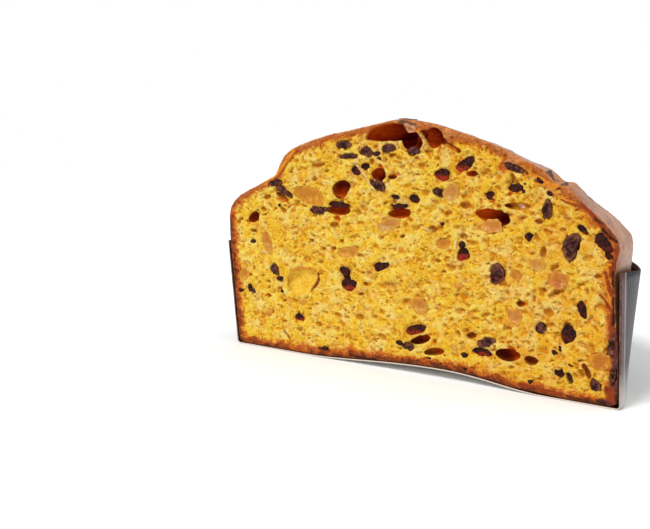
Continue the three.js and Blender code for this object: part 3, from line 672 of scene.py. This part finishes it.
class FaceRaster:
    """A grid over the cut on which pores are stamped, read back at any point of the cut."""

    def __init__(self):
        self.x = np.arange(*FACE_X, CELL)
        self.z = np.arange(*FACE_Z, CELL)
        self.points = np.stack(np.meshgrid(self.x, self.z), axis=-1)
        # Outlines of the pores are bent by a slow and a quick noise.
        bend = [
            0.9 * noise(self.points, 3.1, 11 + i) + 0.32 * noise(self.points, 1.1, 21 + i) for i in range(2)
        ]
        self.bent = self.points + np.stack(bend, axis=-1)
        shape = self.points.shape[:2]
        self.depth = np.zeros(shape)
        self.mark = np.zeros(shape)
        self.mark_tint = np.zeros((*shape, 3))
        self.to_fruit = np.full(shape, 9.0)

    def window(self, x, z, reach_x, reach_z):
        i = slice(*np.clip(np.searchsorted(self.z, (z - reach_z, z + reach_z)), 0, len(self.z)))
        j = slice(*np.clip(np.searchsorted(self.x, (x - reach_x, x + reach_x)), 0, len(self.x)))
        return i, j

    def draw(self, tint, width, depth, corners):
        """A stroke along the corners, sunk by depth or, under 0, raised."""
        for (xa, za), (xb, zb) in zip(corners, corners[1:]):
            reach = width + 2
            middle = (xa + xb) / 2, (za + zb) / 2
            here = self.window(*middle, abs(xb - xa) / 2 + reach, abs(zb - za) / 2 + reach)
            # A stroke keeps its place: only a third of the bend is used.
            place = self.points[here] * 0.67 + self.bent[here] * 0.33
            u, v = place[..., 0] - xa, place[..., 1] - za
            along = np.clip((u * (xb - xa) + v * (zb - za)) / ((xb - xa) ** 2 + (zb - za) ** 2), 0, 1)
            away = np.hypot(u - along * (xb - xa), v - along * (zb - za))
            share = smoothstep(away, width / 2 + 0.35, width / 2 - 0.35)
            if depth < 0:
                self.depth[here] = self.depth[here] * (1 - share) + depth * share
            else:
                self.depth[here] = np.maximum(self.depth[here], depth * share)
            self.mark_tint[here][share > 0.35] = tint
            self.mark[here] = np.maximum(self.mark[here] * (1 - 0.5 * share), share)

    def note_fruit(self, points):
        """Keeps for every cell the distance to the nearest of these points, where it is within reach."""
        i = np.round((points[:, 2] - self.z[0]) / CELL).astype(int)
        j = np.round((points[:, 0] - self.x[0]) / CELL).astype(int)
        steps = range(-round(FRUIT_REACH / CELL), round(FRUIT_REACH / CELL) + 1)
        for di in steps:
            for dj in steps:
                rows = np.clip(i + di, 0, len(self.z) - 1)
                columns = np.clip(j + dj, 0, len(self.x) - 1)
                np.minimum.at(self.to_fruit, (rows, columns), CELL * math.hypot(di, dj))

    def stamp(self, x, z, length, thickness, slope, depth):
        """Sinks an oval pit, unless what is there is deeper."""
        reach = max(length, thickness) / 2 + 1.2
        here = self.window(x, z, reach, reach)
        cos, sin = math.cos(math.radians(slope)), math.sin(math.radians(slope))
        u = self.bent[here][..., 0] - x
        v = self.bent[here][..., 1] - z
        oval = ((u * cos + v * sin) / (length / 2)) ** 2 + ((v * cos - u * sin) / (thickness / 2)) ** 2
        self.depth[here] = np.maximum(self.depth[here], depth * np.clip(1 - oval, 0, 1) ** 0.8)

    def read(self, grid, points):
        """The grid's values at points of the cut, from its four nearest cells."""
        j = np.clip((points[:, 0] - self.x[0]) / CELL, 0, len(self.x) - 1.001)
        i = np.clip((points[:, 2] - self.z[0]) / CELL, 0, len(self.z) - 1.001)
        i0, j0 = i.astype(int), j.astype(int)
        a, b = i - i0, j - j0
        if grid.ndim == 3:
            a, b = a[:, None], b[:, None]
        top = grid[i0, j0] * (1 - b) + grid[i0, j0 + 1] * b
        low = grid[i0 + 1, j0] * (1 - b) + grid[i0 + 1, j0 + 1] * b
        return top * (1 - a) + low * a


def openness(x, z):
    """How open the crumb is at a point of the cut: closest low on the left, most open above on the right."""
    return 0.32 + 0.4 * smoothstep(z, 62, 96) + 0.35 * smoothstep(x, 0, 70) - 0.08 * smoothstep(z, 25, 8)


def make_relief(outline, fruit_points):
    raster = FaceRaster()
    raster.note_fruit(fruit_points)
    random = np.random.default_rng(FACE_SEED)
    for row, (count, short, long, shallow, deep) in enumerate(PORE_SIZES):
        made = 0
        while made < count:
            x, z = random.uniform(*FIELD_X), random.uniform(*FIELD_Z)
            below_crust = float(outline.below(np.array([[x, 0, z]]))[0])
            keep = openness(x, z) if row else 0.5 + 0.5 * openness(x, z)
            if below_crust < 1.5 or random.random() > keep:
                continue
            length = random.uniform(short, long) * (0.6 + 0.4 * min(1, below_crust / NEAR_CRUST))
            flat = random.uniform(0.42, 0.85)
            if below_crust > NEAR_CRUST:
                slope = random.normal(4, 16)
            else:
                slope = outline.slope(x, z) + random.normal(0, 10)
            depth = random.uniform(shallow, deep) * (0.5 + 0.5 * flat)
            raster.stamp(x, z, length, length * flat, slope, depth)
            made += 1
    for x, z, length, thickness, slope in AMBER_PITS:
        raster.stamp(x, z, length, thickness, slope, 0.5 + 0.35 * thickness)
    # Fibres of the crumb, drawn out along the cut low on the left.
    grain = layered_noise(raster.points, (7, 1.5), 31)
    tangle = layered_noise(raster.points, (2.6, 1.8), 41)
    calm = 1 - openness(raster.points[..., 0], raster.points[..., 1])
    raster.depth += 0.45 * calm * np.clip(grain, 0, 1) + 0.35 * np.clip(tangle, 0, 1)
    # Round the fruit the crumb stands back here and there.
    gap = smoothstep(raster.to_fruit, 1.1, 0.3) * smoothstep(noise(raster.points, 3.0, 47), -0.5, 0.4)
    raster.depth = np.maximum(raster.depth, 0.9 * gap)
    for tint, width, depth, *corners in MARKS:
        raster.draw(TINTS[tint], width, depth, list(zip(corners[::2], corners[1::2])))
    return raster


class Outline:
    """The edge of the cut as radius over angle about a point of the cut."""

    def __init__(self, obj):
        points = cut_points(obj)
        on_cut = points[np.abs(points[:, 1]) < 0.01]
        angle, radius = self.polar(on_cut)
        sectors = ((angle + math.pi) / (2 * math.pi) * OUTLINE_SECTORS).astype(int) % OUTLINE_SECTORS
        best = {}
        for k, (sector, reach) in enumerate(zip(sectors, radius)):
            if sector not in best or reach > radius[best[sector]]:
                best[sector] = k
        keep = np.array(sorted(best.values(), key=lambda k: angle[k]))
        # What lies well inside its neighbours is the edge of an opening, not of the cut.
        for _ in range(3):
            mean = (np.roll(radius[keep], 1) + np.roll(radius[keep], -1)) / 2
            keep = keep[radius[keep] > mean - 2.5]
        self.angle = np.concatenate([angle[keep] - 2 * math.pi, angle[keep], angle[keep] + 2 * math.pi])
        self.radius = np.tile(radius[keep], 3)

    @staticmethod
    def polar(points):
        x = points[:, 0] - OUTLINE_CENTRE[0]
        z = points[:, 2] - OUTLINE_CENTRE[1]
        return np.arctan2(z, x), np.hypot(x, z)

    def edge(self, angle):
        return np.interp(angle, self.angle, self.radius)

    def below(self, points):
        """Distance of points inside the edge of the cut, in millimetres."""
        angle, radius = self.polar(points)
        step = 0.02
        edge = self.edge(angle)
        # The edge runs aslant to the ray from the centre, so the way to it is shorter than along the ray.
        lean = (self.edge(angle + step) - self.edge(angle - step)) / (2 * step) / edge
        return (edge - radius) / np.sqrt(1 + lean**2)

    def slope(self, x, z):
        """Direction of the edge nearest to a point, in degrees."""
        angle = math.atan2(z - OUTLINE_CENTRE[1], x - OUTLINE_CENTRE[0])
        step = 0.03
        a, b = self.edge(angle - step), self.edge(angle + step)
        dx = b * math.cos(angle + step) - a * math.cos(angle - step)
        dz = b * math.sin(angle + step) - a * math.sin(angle - step)
        return math.degrees(math.atan2(dz, dx))


# ---- the loaf

SMALL_BUBBLE_X = 14.5
SMALL_BUBBLE_TOP = 119
ROOF_RISE = 0.8
CROWN_FROM = 114  # above this the crust over the bubbles is thin
CROWN_X = 8
BARE_CRUST = (57, 66)  # heights over which the crust comes free of the paper
IN_CASE = (63, 58)  # heights over which the crust gets the look of what lies in the case
TORN_RING = 98  # height of the ring where the crust tore
SCORCHED_X = 1.2


def make_loaf(fruit_points):
    loaf = merged_copy("loaf", "cut_loaf")
    outline = Outline(loaf)
    raster = make_relief(outline, fruit_points)
    # The crust over the small bubble of the crown is raised a little, because the remesh would tear it there.
    points = cut_points(loaf)
    raised = np.exp(-(((points[:, 0] - SMALL_BUBBLE_X) / 7) ** 2) - (points[:, 1] / 9) ** 2)
    is_roof = (points[:, 2] > SMALL_BUBBLE_TOP) & (vertex_normals(loaf)[:, 2] > 0.2)
    points[:, 2] += ROOF_RISE * raised * is_roof
    move_to(loaf, points)
    remesh(loaf, LOAF_VOXEL)
    shape_loaf(loaf, outline, raster)
    triangles = sum(len(p.vertices) - 2 for p in loaf.data.polygons)
    if triangles > LOAF_TRIANGLES:
        apply_modifier(loaf, "DECIMATE", ratio=LOAF_TRIANGLES / triangles)
    points = cut_points(loaf)
    outer = read_rows(loaf.data.attributes["outer"].data, "value")[:, 0] > 0.5
    note_crumb(loaf, points, outer, outline, raster)
    note_crust(loaf, points, outer)
    finish_piece(loaf, "cake", make_crumb(), make_crust(), replaces=["loaf"])
    corners = read_rows(loaf.data.loops, "vertex_index", 1, np.int32)[:, 0]
    starts = read_rows(loaf.data.polygons, "loop_start", 1, np.int32)[:, 0]
    is_crust = np.add.reduceat(outer[corners].astype(int), starts) >= 2
    loaf.data.polygons.foreach_set("material_index", is_crust.astype(np.int32))
    shade_smooth(loaf)
    return loaf


def shape_loaf(loaf, outline, raster):
    """Gives the remeshed loaf its worn crust, its pores and rough holes, and the crust's wrinkles."""
    points = cut_points(loaf)
    normals = vertex_normals(loaf)
    # The crust's own surface, and not the cut or the walls of what opens at it.
    angle, _ = outline.polar(points)
    outward = normals[:, 0] * np.cos(angle) + normals[:, 2] * np.sin(angle)
    near = outline.below(points) < 2.2 + 0.12 * points[:, 1]
    outer = (points[:, 1] > DEEPEST_OPENING) | ((points[:, 1] > 0.4) & near & (outward > 0.25))
    set_attribute(loaf, "outer", outer)

    # Facets of the crust are worn off by averaging over neighbours.
    soft = (outer & (points[:, 1] > 1.5))[:, None]
    for _ in range(round(14 / LOAF_VOXEL)):
        points = np.where(soft, 0.4 * points + 0.6 * neighbour_mean(loaf, points), points)

    # The cut sinks into its pores; the walls of the holes are rough.
    behind = points[:, 1]
    sunk = raster.read(raster.depth, points) * np.exp(-np.clip(behind, 0, None) / 1.4)
    into_crust = smoothstep(outline.below(points), 0.0, 2.5)
    points[:, 1] += np.where(outer, 0, sunk * (0.25 + 0.75 * into_crust))
    lumps = 0.5 * np.where(outer, 0, smoothstep(behind, 0.3, 2.0)) * layered_noise(points, 1.9, 51)
    # The crust over the crown's bubbles is thin, so it only grows thicker.
    lumps = np.where(points[:, 2] > CROWN_FROM, np.abs(lumps), lumps)
    points += normals * lumps[:, None]
    # The mouths of the raisins' pockets are ragged.
    ragged = smoothstep(raster.read(raster.to_fruit, points), 1.6, 0.6) * smoothstep(behind, 3.0, 1.2)
    ragged = np.where(outer, 0, ragged)
    for axis in (0, 2):
        points[:, axis] += 0.7 * ragged * layered_noise(points, (2.0, 6, 2.0), 81 + axis)
    # The crust has swells, blisters and fine wrinkles above the paper.
    bare = np.where(outer, smoothstep(points[:, 2], *BARE_CRUST), 0)
    swell = 0.35 * noise(points, 9, 61) + 0.3 * layered_noise(points, 3.2, 63)
    wrinkle = 0.22 * (1 - 2 * np.abs(noise(points, 4.5, 65)))
    bumps = swell + wrinkle - 0.25
    crown = np.exp(-(((points[:, 0] - CROWN_X) / 22) ** 2)) * smoothstep(points[:, 1], 20, 10)
    bumps += crown * (0.45 - 0.7 * bumps)
    points += normals * (bare * bumps)[:, None]
    move_to(loaf, points)


def note_crumb(loaf, points, outer, outline, raster):
    """Sets what the crumb's material reads: the bake, the stains and their painted lit side, the marks and
    the depth of the pores.
    """
    x, y, z = points.T
    below = np.clip(outline.below(points), 0, 30)
    # The bake reaches further in at the foot and up the left side, and furthest at the right foot.
    low = smoothstep(z, 12, 4)
    side = smoothstep(x, -98, -106) * smoothstep(z, 84, 60)
    corner = smoothstep(np.hypot(x - 106, z - 2), 12, 3)
    reach_in = 0.9 * low + 1.0 * side + 1.6 * corner + 0.7 * noise(points, 7, 75)
    below = np.clip(below - reach_in * smoothstep(below, 14, 6), 0, 30)
    stain_and_shade = np.zeros(len(points))
    painted_lit_side = np.zeros(len(points))
    for stain_x, stain_z, reach, dark, lit_side in STAINED_AND_SHADED_HOLES:
        u, v = x - stain_x, z - stain_z
        here = dark * smoothstep(np.hypot(u, v) / reach, 1.15, 0.75) * smoothstep(y, 0.4, 1.9)
        side = (u * math.cos(math.radians(lit_side)) + v * math.sin(math.radians(lit_side))) / reach
        # Painted light: only the two largest holes get the amber of a brightly lit lining.
        painted_lit_side = np.where(here > stain_and_shade, np.minimum(0.5 + 1.3 * side, 1.4 if reach > 10 else 0.85), painted_lit_side)
        stain_and_shade = np.maximum(stain_and_shade, here)
    pale_x, pale_z, reach = PALE_FLOOR
    pale = smoothstep(np.hypot(x - pale_x, z - pale_z) / reach, 1.1, 0.8)
    on_face = np.maximum(smoothstep(y, 3.5, 2.0), pale)
    set_attribute(loaf, "cavity", cavity_of(loaf))
    set_attribute(loaf, "warm", 0.8 * smoothstep(x, -10, 90) + 0.3 * smoothstep(z, 80, 115))
    set_attribute(loaf, "high", smoothstep(z, 74, 100))
    set_attribute(loaf, "painted_lit_side", painted_lit_side)
    set_tint(loaf, "mark_tint", raster.read(raster.mark_tint, points))
    for name, values in {
        "crust_depth": below,
        "pore_depth": np.clip(y, 0, 12) * (1 - pale),
        "pale": pale * smoothstep(y, 0.6, 1.8),
        "mark": raster.read(raster.mark, points) * on_face,
        "stain_and_shade": stain_and_shade,
    }.items():
        set_attribute(loaf, name, np.where(outer, 0, values))


def note_crust(loaf, points, outer):
    """Sets what the crust's material reads: where it tore, is scorched, was cut and lies in the case."""
    x, y, z = points.T
    scorched = np.exp(-(((x - SCORCHED_X) / 4.2) ** 2 + ((y - 2.5) / 5) ** 2)) * (z > 122)
    radius = np.hypot(x, y + 2)
    ring = np.exp(-(((z - TORN_RING - 0.03 * (84 - radius)) / 3.8) ** 2))
    torn = ring * smoothstep(radius, 66, 72) * smoothstep(radius, 90, 84)
    torn *= 0.3 + 0.7 * smoothstep(noise(points, 15, 77), -0.3, 0.4)
    for name, values in {
        "scorched": np.clip(1.4 * scorched, 0, 1),
        "torn": np.clip(torn + 0.25 * noise(points, 4, 71), 0, 1),
        "near_cut": smoothstep(y + 1.5 * noise(points, 2.5, 73), 5.0, 0.5),
        "in_case": smoothstep(z, *IN_CASE),
    }.items():
        set_attribute(loaf, name, np.where(outer, values, 0))


# ---- the fruit

FRUIT_SECTORS = 24
SUNK_RAISIN = 0.12  # raisins that start further behind the cut were not cut through
RAISIN_SEED = 100
PEEL_SEED = 700
BIT_SEED = 900
SHEET_SEED = 300
SHEET_THICKNESS = 0.5
SHEET_STEPS = 26


def make_fruit(node, seed, wrinkle, wrinkle_size, swell, back):
    """A fruit of the cut: the CAD fruit grown to touch the crumb, with a wrinkled skin and a cut front.

    Its outline gets lobes, which reach over the crumb, and bays, which show the lining of its pocket. The
    cut, a film of crumb over it and painted light on its lower side come back as one number for each vertex."""
    fruit = merged_copy(node, f"cut_{node}")
    remesh(fruit, FRUIT_VOXEL)
    points = cut_points(fruit)
    normals = vertex_normals(fruit)
    front = points[:, 1].min()
    middle = points[points[:, 1] < front + 0.3].mean(axis=0)
    angle = np.arctan2(points[:, 2] - middle[2], points[:, 0] - middle[0])
    radius = np.hypot(points[:, 2] - middle[2], points[:, 0] - middle[0])
    sector = ((angle + math.pi) / (2 * math.pi) * FRUIT_SECTORS).astype(int) % FRUIT_SECTORS
    reach = np.array([radius[sector == k].max(initial=0.1) for k in range(FRUIT_SECTORS)])[sector]
    ridges = 1 - 2 * np.abs(layered_noise(points, wrinkle_size, seed, layers=2))
    lobes = layered_noise(points, (2.4, 5, 2.4), seed + 7)
    grown = swell + wrinkle * (0.6 * ridges + 1.7 * lobes - 0.2)
    behind = smoothstep(points[:, 1], front + 0.15, front + 0.8)
    sideways = normals * grown[:, None]
    sideways[:, 1] *= behind
    # The front keeps the outline's lobes, sinks back a little and is uneven.
    rim = smoothstep(radius / reach, 0.4, 0.9) * (1 - behind)
    sideways[:, 0] += np.cos(angle) * rim * grown
    sideways[:, 2] += np.sin(angle) * rim * grown
    uneven = back + 0.8 * wrinkle * layered_noise(points, 1.8, seed + 3)
    sideways[:, 1] += (1 - behind) * np.maximum(uneven, 0)
    points = points + sideways
    move_to(fruit, points)
    front += back
    cut = smoothstep(-normals[:, 1], 0.55, 0.9) * smoothstep(points[:, 1], front + 1.2, front + 0.5)
    film = smoothstep(radius / reach + 0.35 * layered_noise(points, 1.8, seed + 9), 0.62, 1.0) * cut
    # Painted light: the lower side of the front is marked to be painted as lit through from below.
    painted_glow = smoothstep(points[:, 2] - middle[2] + 1.2 * noise(points, 2.4, seed + 11), 0.2, -1.8)
    return fruit, cut, film, painted_glow


def fruit_nodes(kind):
    return enumerate(sorted(node for node in NODES if node.startswith(kind)))


def make_raisins(material):
    """Makes the raisins and returns the points of their fronts."""
    fronts = []
    for i, node in fruit_nodes("raisin_"):
        is_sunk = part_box(node)[0].y - CUT_MIDDLE.y > SUNK_RAISIN * MM
        back, flesh, crumb = (0.7, 0.1, 0.0) if is_sunk else (0.15, 0.9, 0.4)
        raisin, cut, film, painted_glow = make_fruit(node, RAISIN_SEED + 10 * i, 0.55, 1.6, 0.3, back)
        set_attribute(raisin, "cut_flesh", cut * flesh)
        set_attribute(raisin, "crumb_film", film * crumb)
        set_attribute(raisin, "painted_glow", painted_glow * (1.0 if node in RAISINS_PAINTED_LIT else 0.15))
        finish_piece(raisin, "raisin", material, replaces=[node])
        points = cut_points(raisin)
        fronts.append(points[points[:, 1] < points[:, 1].min() + 0.8])
    return np.concatenate(fronts)


def make_peels(material):
    for i, node in fruit_nodes("peel_"):
        peel, cut, film, painted_glow = make_fruit(node, PEEL_SEED + 10 * i, 0.42, 2.4, 0.4, 0.1)
        set_tint(peel, "tint", np.tile(PEEL_TINTS[node], (len(cut), 1)))
        set_attribute(peel, "crumb_film", film * 0.7)
        set_attribute(peel, "shaded", cut * (1 - painted_glow))
        finish_piece(peel, "peel", material, replaces=[node])


def make_bits(rows, name, slot, material, sunk):
    """Small bits of fruit on the cut, each a flattened, uneven lump, joined into one piece."""
    made = []
    for i, (x, z, length, thickness, slope) in enumerate(rows):
        bpy.ops.object.select_all(action="DESELECT")
        bpy.ops.mesh.primitive_ico_sphere_add(subdivisions=4, radius=0.5 * MM, location=(0, 0, 0))
        bit = bpy.context.object
        ball = read_rows(bit.data.vertices, "co", 3) / MM
        turn = math.radians(slope)
        grown = ball * (1 + 0.28 * layered_noise(ball * 2, 0.9, BIT_SEED + i))[:, None]
        u = grown[:, 0] * length
        v = grown[:, 2] * thickness
        across = u * math.cos(turn) - v * math.sin(turn)
        up = u * math.sin(turn) + v * math.cos(turn)
        behind = grown[:, 1] * 0.8 * min(length, thickness)
        move_to(bit, np.stack([x + across, sunk + 0.2 * thickness + behind, z + up], axis=1))
        made.append(bit)
    bits = join_pieces(made, name)
    set_attribute(bits, "cut_flesh", np.full(len(bits.data.vertices), 0.15))
    set_tint(bits, "tint", np.tile(PALE_BIT_TINT, (len(bits.data.vertices), 1)))
    finish_piece(bits, slot, material)
    shade_smooth(bits)


def make_sheets(name, rows, slot, material, ground=None):
    """Thin skins and flakes: one uneven sheet between four corners for each row, joined into one piece."""
    made = []
    for i, corners in enumerate(rows):
        sheet, across, up = new_grid(SHEET_STEPS, SHEET_STEPS)
        u, v = (across + 1) / 2, (up + 1) / 2
        a, b, c, d = (np.array(corner, float) for corner in corners)
        points = np.outer((1 - u) * (1 - v), a) + np.outer(u * (1 - v), b) + np.outer(u * v, c)
        points += np.outer((1 - u) * v, d)
        if ground:
            for point in points:
                above = CUT_MIDDLE + Vector((point[0], point[1], 140)) * MM
                point[2] += ground.ray_cast(above, (0, 0, -1))[0].z / MM - 0.1
        else:
            bulge = 0.6 * 16 * u * (1 - u) * v * (1 - v)
            points[:, 1] += 0.5 * layered_noise(points[:, ::2], 2.2, SHEET_SEED + i) + bulge
        points[:, 0] += 0.45 * layered_noise(points[:, ::2], 1.5, SHEET_SEED + 20 + i)
        points[:, 2] += 0.35 * layered_noise(points[:, ::2], 1.5, SHEET_SEED + 40 + i)
        move_to(sheet, points)
        made.append(sheet)
    sheets = join_pieces(made, name)
    finish_piece(sheets, slot, material)
    apply_modifier(sheets, "SOLIDIFY", thickness=SHEET_THICKNESS * MM, offset=0.0)
    shade_smooth(sheets)


# ---- the paper case

AXIS_BEHIND_CUT = 12
CASE_HEIGHT = 60.5
CASE_PAPER = 0.8
CASE_FOOT = (107.5, 4.0)  # radius at the foot, and how much smaller it is on the right
CASE_RIM = (112.8, 4.8)
CASE_END = (5.4, -1.8, math.radians(11))  # spread at the foot, lean at the rim, and how far round
FOOT_CURVE = 1.5
ARCH = (4.6, 22, 85, 52, 70)  # rise, x of the top, reach to the left, right and back
FLUTES = 250
FLUTE_DEPTH = 0.07
CASE_COLUMNS = 1000
FLOOR_RINGS = 12
WALL_RINGS = 16
RIM_DIP = (3.4, math.radians(32), math.radians(12), math.radians(36))  # depth, where, and from how far round
PAPER_HEM_AND_FOLD_HIGHLIGHT = ((0.030, 0.010, 0.008), (0.16, 0.075, 0.062), (0.34, 0.27, 0.26))


def case_radius(azimuth, height):
    up = height / CASE_HEIGHT
    foot = CASE_FOOT[0] - CASE_FOOT[1] * np.cos(azimuth)
    rim = CASE_RIM[0] - CASE_RIM[1] * np.cos(azimuth)
    end = math.asin(-AXIS_BEHIND_CUT / CASE_RIM[0])
    turned = np.arctan2(np.sin(azimuth - end), np.cos(azimuth - end))
    bend = CASE_END[0] + (CASE_END[1] - CASE_END[0]) * np.clip(up, 0, 1)
    return foot + (rim - foot) * up + bend * np.exp(-((turned / CASE_END[2]) ** 2))


def arch_height(radius, azimuth):
    rise, top, left, right, back = ARCH
    across = radius * np.cos(azimuth) - top
    reach = np.where(across < 0, left, right)
    away = np.hypot(across / reach, radius * np.sin(azimuth) / back)
    return rise * np.clip(1 - away**2, 0, 1) ** 2


def make_case():
    """Case: one sheet from the middle of the floor out and up the wall, fluted, cut off and made thick."""
    rings = FLOOR_RINGS + WALL_RINGS
    case, round_it, out_and_up = new_grid(CASE_COLUMNS, rings)
    case.name = case.data.name = "baking_case"
    azimuth = (round_it + 1) * math.pi - math.pi / 2  # the seam lies in front of the cut
    ring = np.round((out_and_up + 1) / 2 * rings)
    on_floor = ring <= FLOOR_RINGS
    floor_radius = (case_radius(azimuth, 0 * azimuth) - FOOT_CURVE) * (ring / FLOOR_RINGS)
    up = np.clip((ring - FLOOR_RINGS - 1) / (WALL_RINGS - 1), 0, 1)
    height = FOOT_CURVE + (CASE_HEIGHT - FOOT_CURVE) * up
    height -= 0.25 * (up == 1) * (1 + np.sin(5 * azimuth + 1))
    dip, dip_at, dip_inside, dip_outside = RIM_DIP
    height -= dip * up**2 * smoothstep(np.abs(azimuth - dip_at), dip_outside, dip_inside)
    flute = FLUTE_DEPTH * np.cos(FLUTES * azimuth) * np.where(on_floor, 0, smoothstep(up, -0.1, 0.15))
    middle = CASE_PAPER / 2
    wall_radius = case_radius(azimuth, height) - middle - FLUTE_DEPTH
    radius = np.where(on_floor, floor_radius, wall_radius) + flute
    z = np.where(on_floor, arch_height(floor_radius, azimuth) + middle, height)
    x, y = radius * np.cos(azimuth), AXIS_BEHIND_CUT + radius * np.sin(azimuth)
    points = np.stack([x, y, z], axis=1)
    move_to(case, points)
    behind = y + 0.4 * noise(points, 3.0, 91)
    # Painted reflection of the white floor: the wall pales towards its foot, most on the right near the cut,
    # and the case's floor is painted pale all over.
    painted_foot_reflection = 0.2 + 0.4 * smoothstep(y, 50, 5) * (x > 0)
    # Painted highlight: a pale strip along the fold just behind the cut.
    painted_fold_highlight = smoothstep(behind, 3.8, 4.4) * smoothstep(behind, 6.4, 5.4)
    set_attribute(case, "near_foot", np.where(on_floor, 1.0, painted_foot_reflection * smoothstep(height, 22, 1)))
    set_attribute(case, "hem", np.where(on_floor, 0, smoothstep(behind, 4.3, 3.7)))
    set_attribute(case, "painted_fold_highlight", np.where(on_floor, 0, painted_fold_highlight))
    merge_close(case, 0.02 * MM)
    bpy.ops.object.mode_set(mode="EDIT")
    bpy.ops.mesh.select_all(action="SELECT")
    bpy.ops.mesh.bisect(plane_co=CUT_MIDDLE, plane_no=(0, -1, 0), clear_outer=True)
    bpy.ops.mesh.select_all(action="SELECT")
    bpy.ops.mesh.normals_make_consistent(inside=False)
    bpy.ops.object.mode_set(mode="OBJECT")
    outside = make_paper(
        "case_outside", (0.005, 0.004, 0.006), (0.013, 0.011, 0.017), 0.42, (0.88, 0.85, 0.80), PAPER_HEM_AND_FOLD_HIGHLIGHT
    )
    inside = make_paper("case_inside", (0.050, 0.008, 0.003), (0.13, 0.030, 0.015), 0.6)
    edge = make_paper("case_edge", (0.05, 0.018, 0.014), (0.24, 0.13, 0.10), 0.8, (0.66, 0.56, 0.47))
    finish_piece(case, "paper", outside, inside, edge, replaces=["paper_case"])
    wall = (CASE_PAPER - 2 * FLUTE_DEPTH) * MM
    apply_modifier(case, "SOLIDIFY", thickness=wall, offset=0.0, material_offset=1, material_offset_rim=2)
    shade_smooth(case)


# ---- floor, light and camera

CAMERA_PLACE = (193.6, -349.05, 112.5)
CAMERA_TURN = 34.73  # degrees round from looking straight at the cut
CAMERA_DIP = 8.145
SENSOR_WIDTH = 36
FOCAL_PIXELS = 800
PICTURE_WIDTH = 650


def make_camera():
    data = bpy.data.cameras.new("camera")
    data.sensor_width = SENSOR_WIDTH
    data.lens = FOCAL_PIXELS / PICTURE_WIDTH * SENSOR_WIDTH
    data.clip_start = 0.01
    camera = bpy.data.objects.new("camera", data)
    bpy.context.scene.collection.objects.link(camera)
    camera.location = CUT_MIDDLE + Vector(CAMERA_PLACE) * MM
    camera.rotation_euler = (math.radians(90 - CAMERA_DIP), 0, math.radians(CAMERA_TURN))
    bpy.context.scene.camera = camera


def make_floor():
    bpy.ops.object.select_all(action="DESELECT")
    bpy.ops.mesh.primitive_plane_add(size=8, location=(0, 0, 0))
    floor = bpy.context.object
    floor.name = "floor"
    floor.data.materials.append(Finish("white_floor").surface((0.9, 0.9, 0.9, 1), 0.9))


def add_sun(name, place, strength, softness):
    """A lamp that shines from the side of place towards the cake, as large as softness degrees of the sky."""
    data = bpy.data.lights.new(name, "SUN")
    data.energy = strength
    data.angle = math.radians(softness)
    sun = bpy.data.objects.new(name, data)
    bpy.context.scene.collection.objects.link(sun)
    sun.location = place
    sun.rotation_euler = (-Vector(place)).to_track_quat("-Z", "Y").to_euler()


def make_light():
    world = bpy.data.worlds.new("white_room")
    world.use_nodes = True
    background = world.node_tree.nodes["Background"]
    background.inputs["Color"].default_value = (1, 1, 1, 1)
    # The room looks white and lights the cake at half of that, so that the lamps still model it.
    path = world.node_tree.nodes.new("ShaderNodeLightPath")
    strength = world.node_tree.nodes.new("ShaderNodeMapRange")
    strength.inputs["To Min"].default_value = 0.5
    strength.inputs["To Max"].default_value = 1.0
    world.node_tree.links.new(path.outputs["Is Camera Ray"], strength.inputs["Value"])
    world.node_tree.links.new(strength.outputs["Result"], background.inputs["Strength"])
    bpy.context.scene.world = world
    add_sun("key", (-0.25, -0.75, 0.95), 2.25, 20)
    add_sun("top", (0.35, 0.15, 1.2), 0.85, 60)
    bpy.context.scene.view_settings.view_transform = "Standard"
    bpy.context.scene.view_settings.look = "None"


# ---- making it

make_camera()
make_floor()
make_light()
raisin_finish = make_raisin()
peel_finish = make_peel()
crumb_skin = make_film("crumb_skin", (0.40, 0.12, 0.030), (0.66, 0.30, 0.12))
dark_flake = make_film("dark_flake", (0.030, 0.012, 0.010), (0.11, 0.055, 0.046))
raisin_fronts = make_raisins(raisin_finish)
loaf = make_loaf(raisin_fronts)
make_peels(peel_finish)
make_bits(SPECKS, "fruit_specks", "raisin", raisin_finish, 0.1)
make_bits(PALE_BITS, "peel_bits", "peel", peel_finish, 0.5)
loaf_faces = [polygon.vertices for polygon in loaf.data.polygons]
ground = BVHTree.FromPolygons([vertex.co for vertex in loaf.data.vertices], loaf_faces)
make_sheets("crumb_films", FILMS, "cake", crumb_skin)
make_sheets("crust_flakes", FLAKES, "cake", dark_flake, ground)
make_case()

bpy.context.view_layer.update()
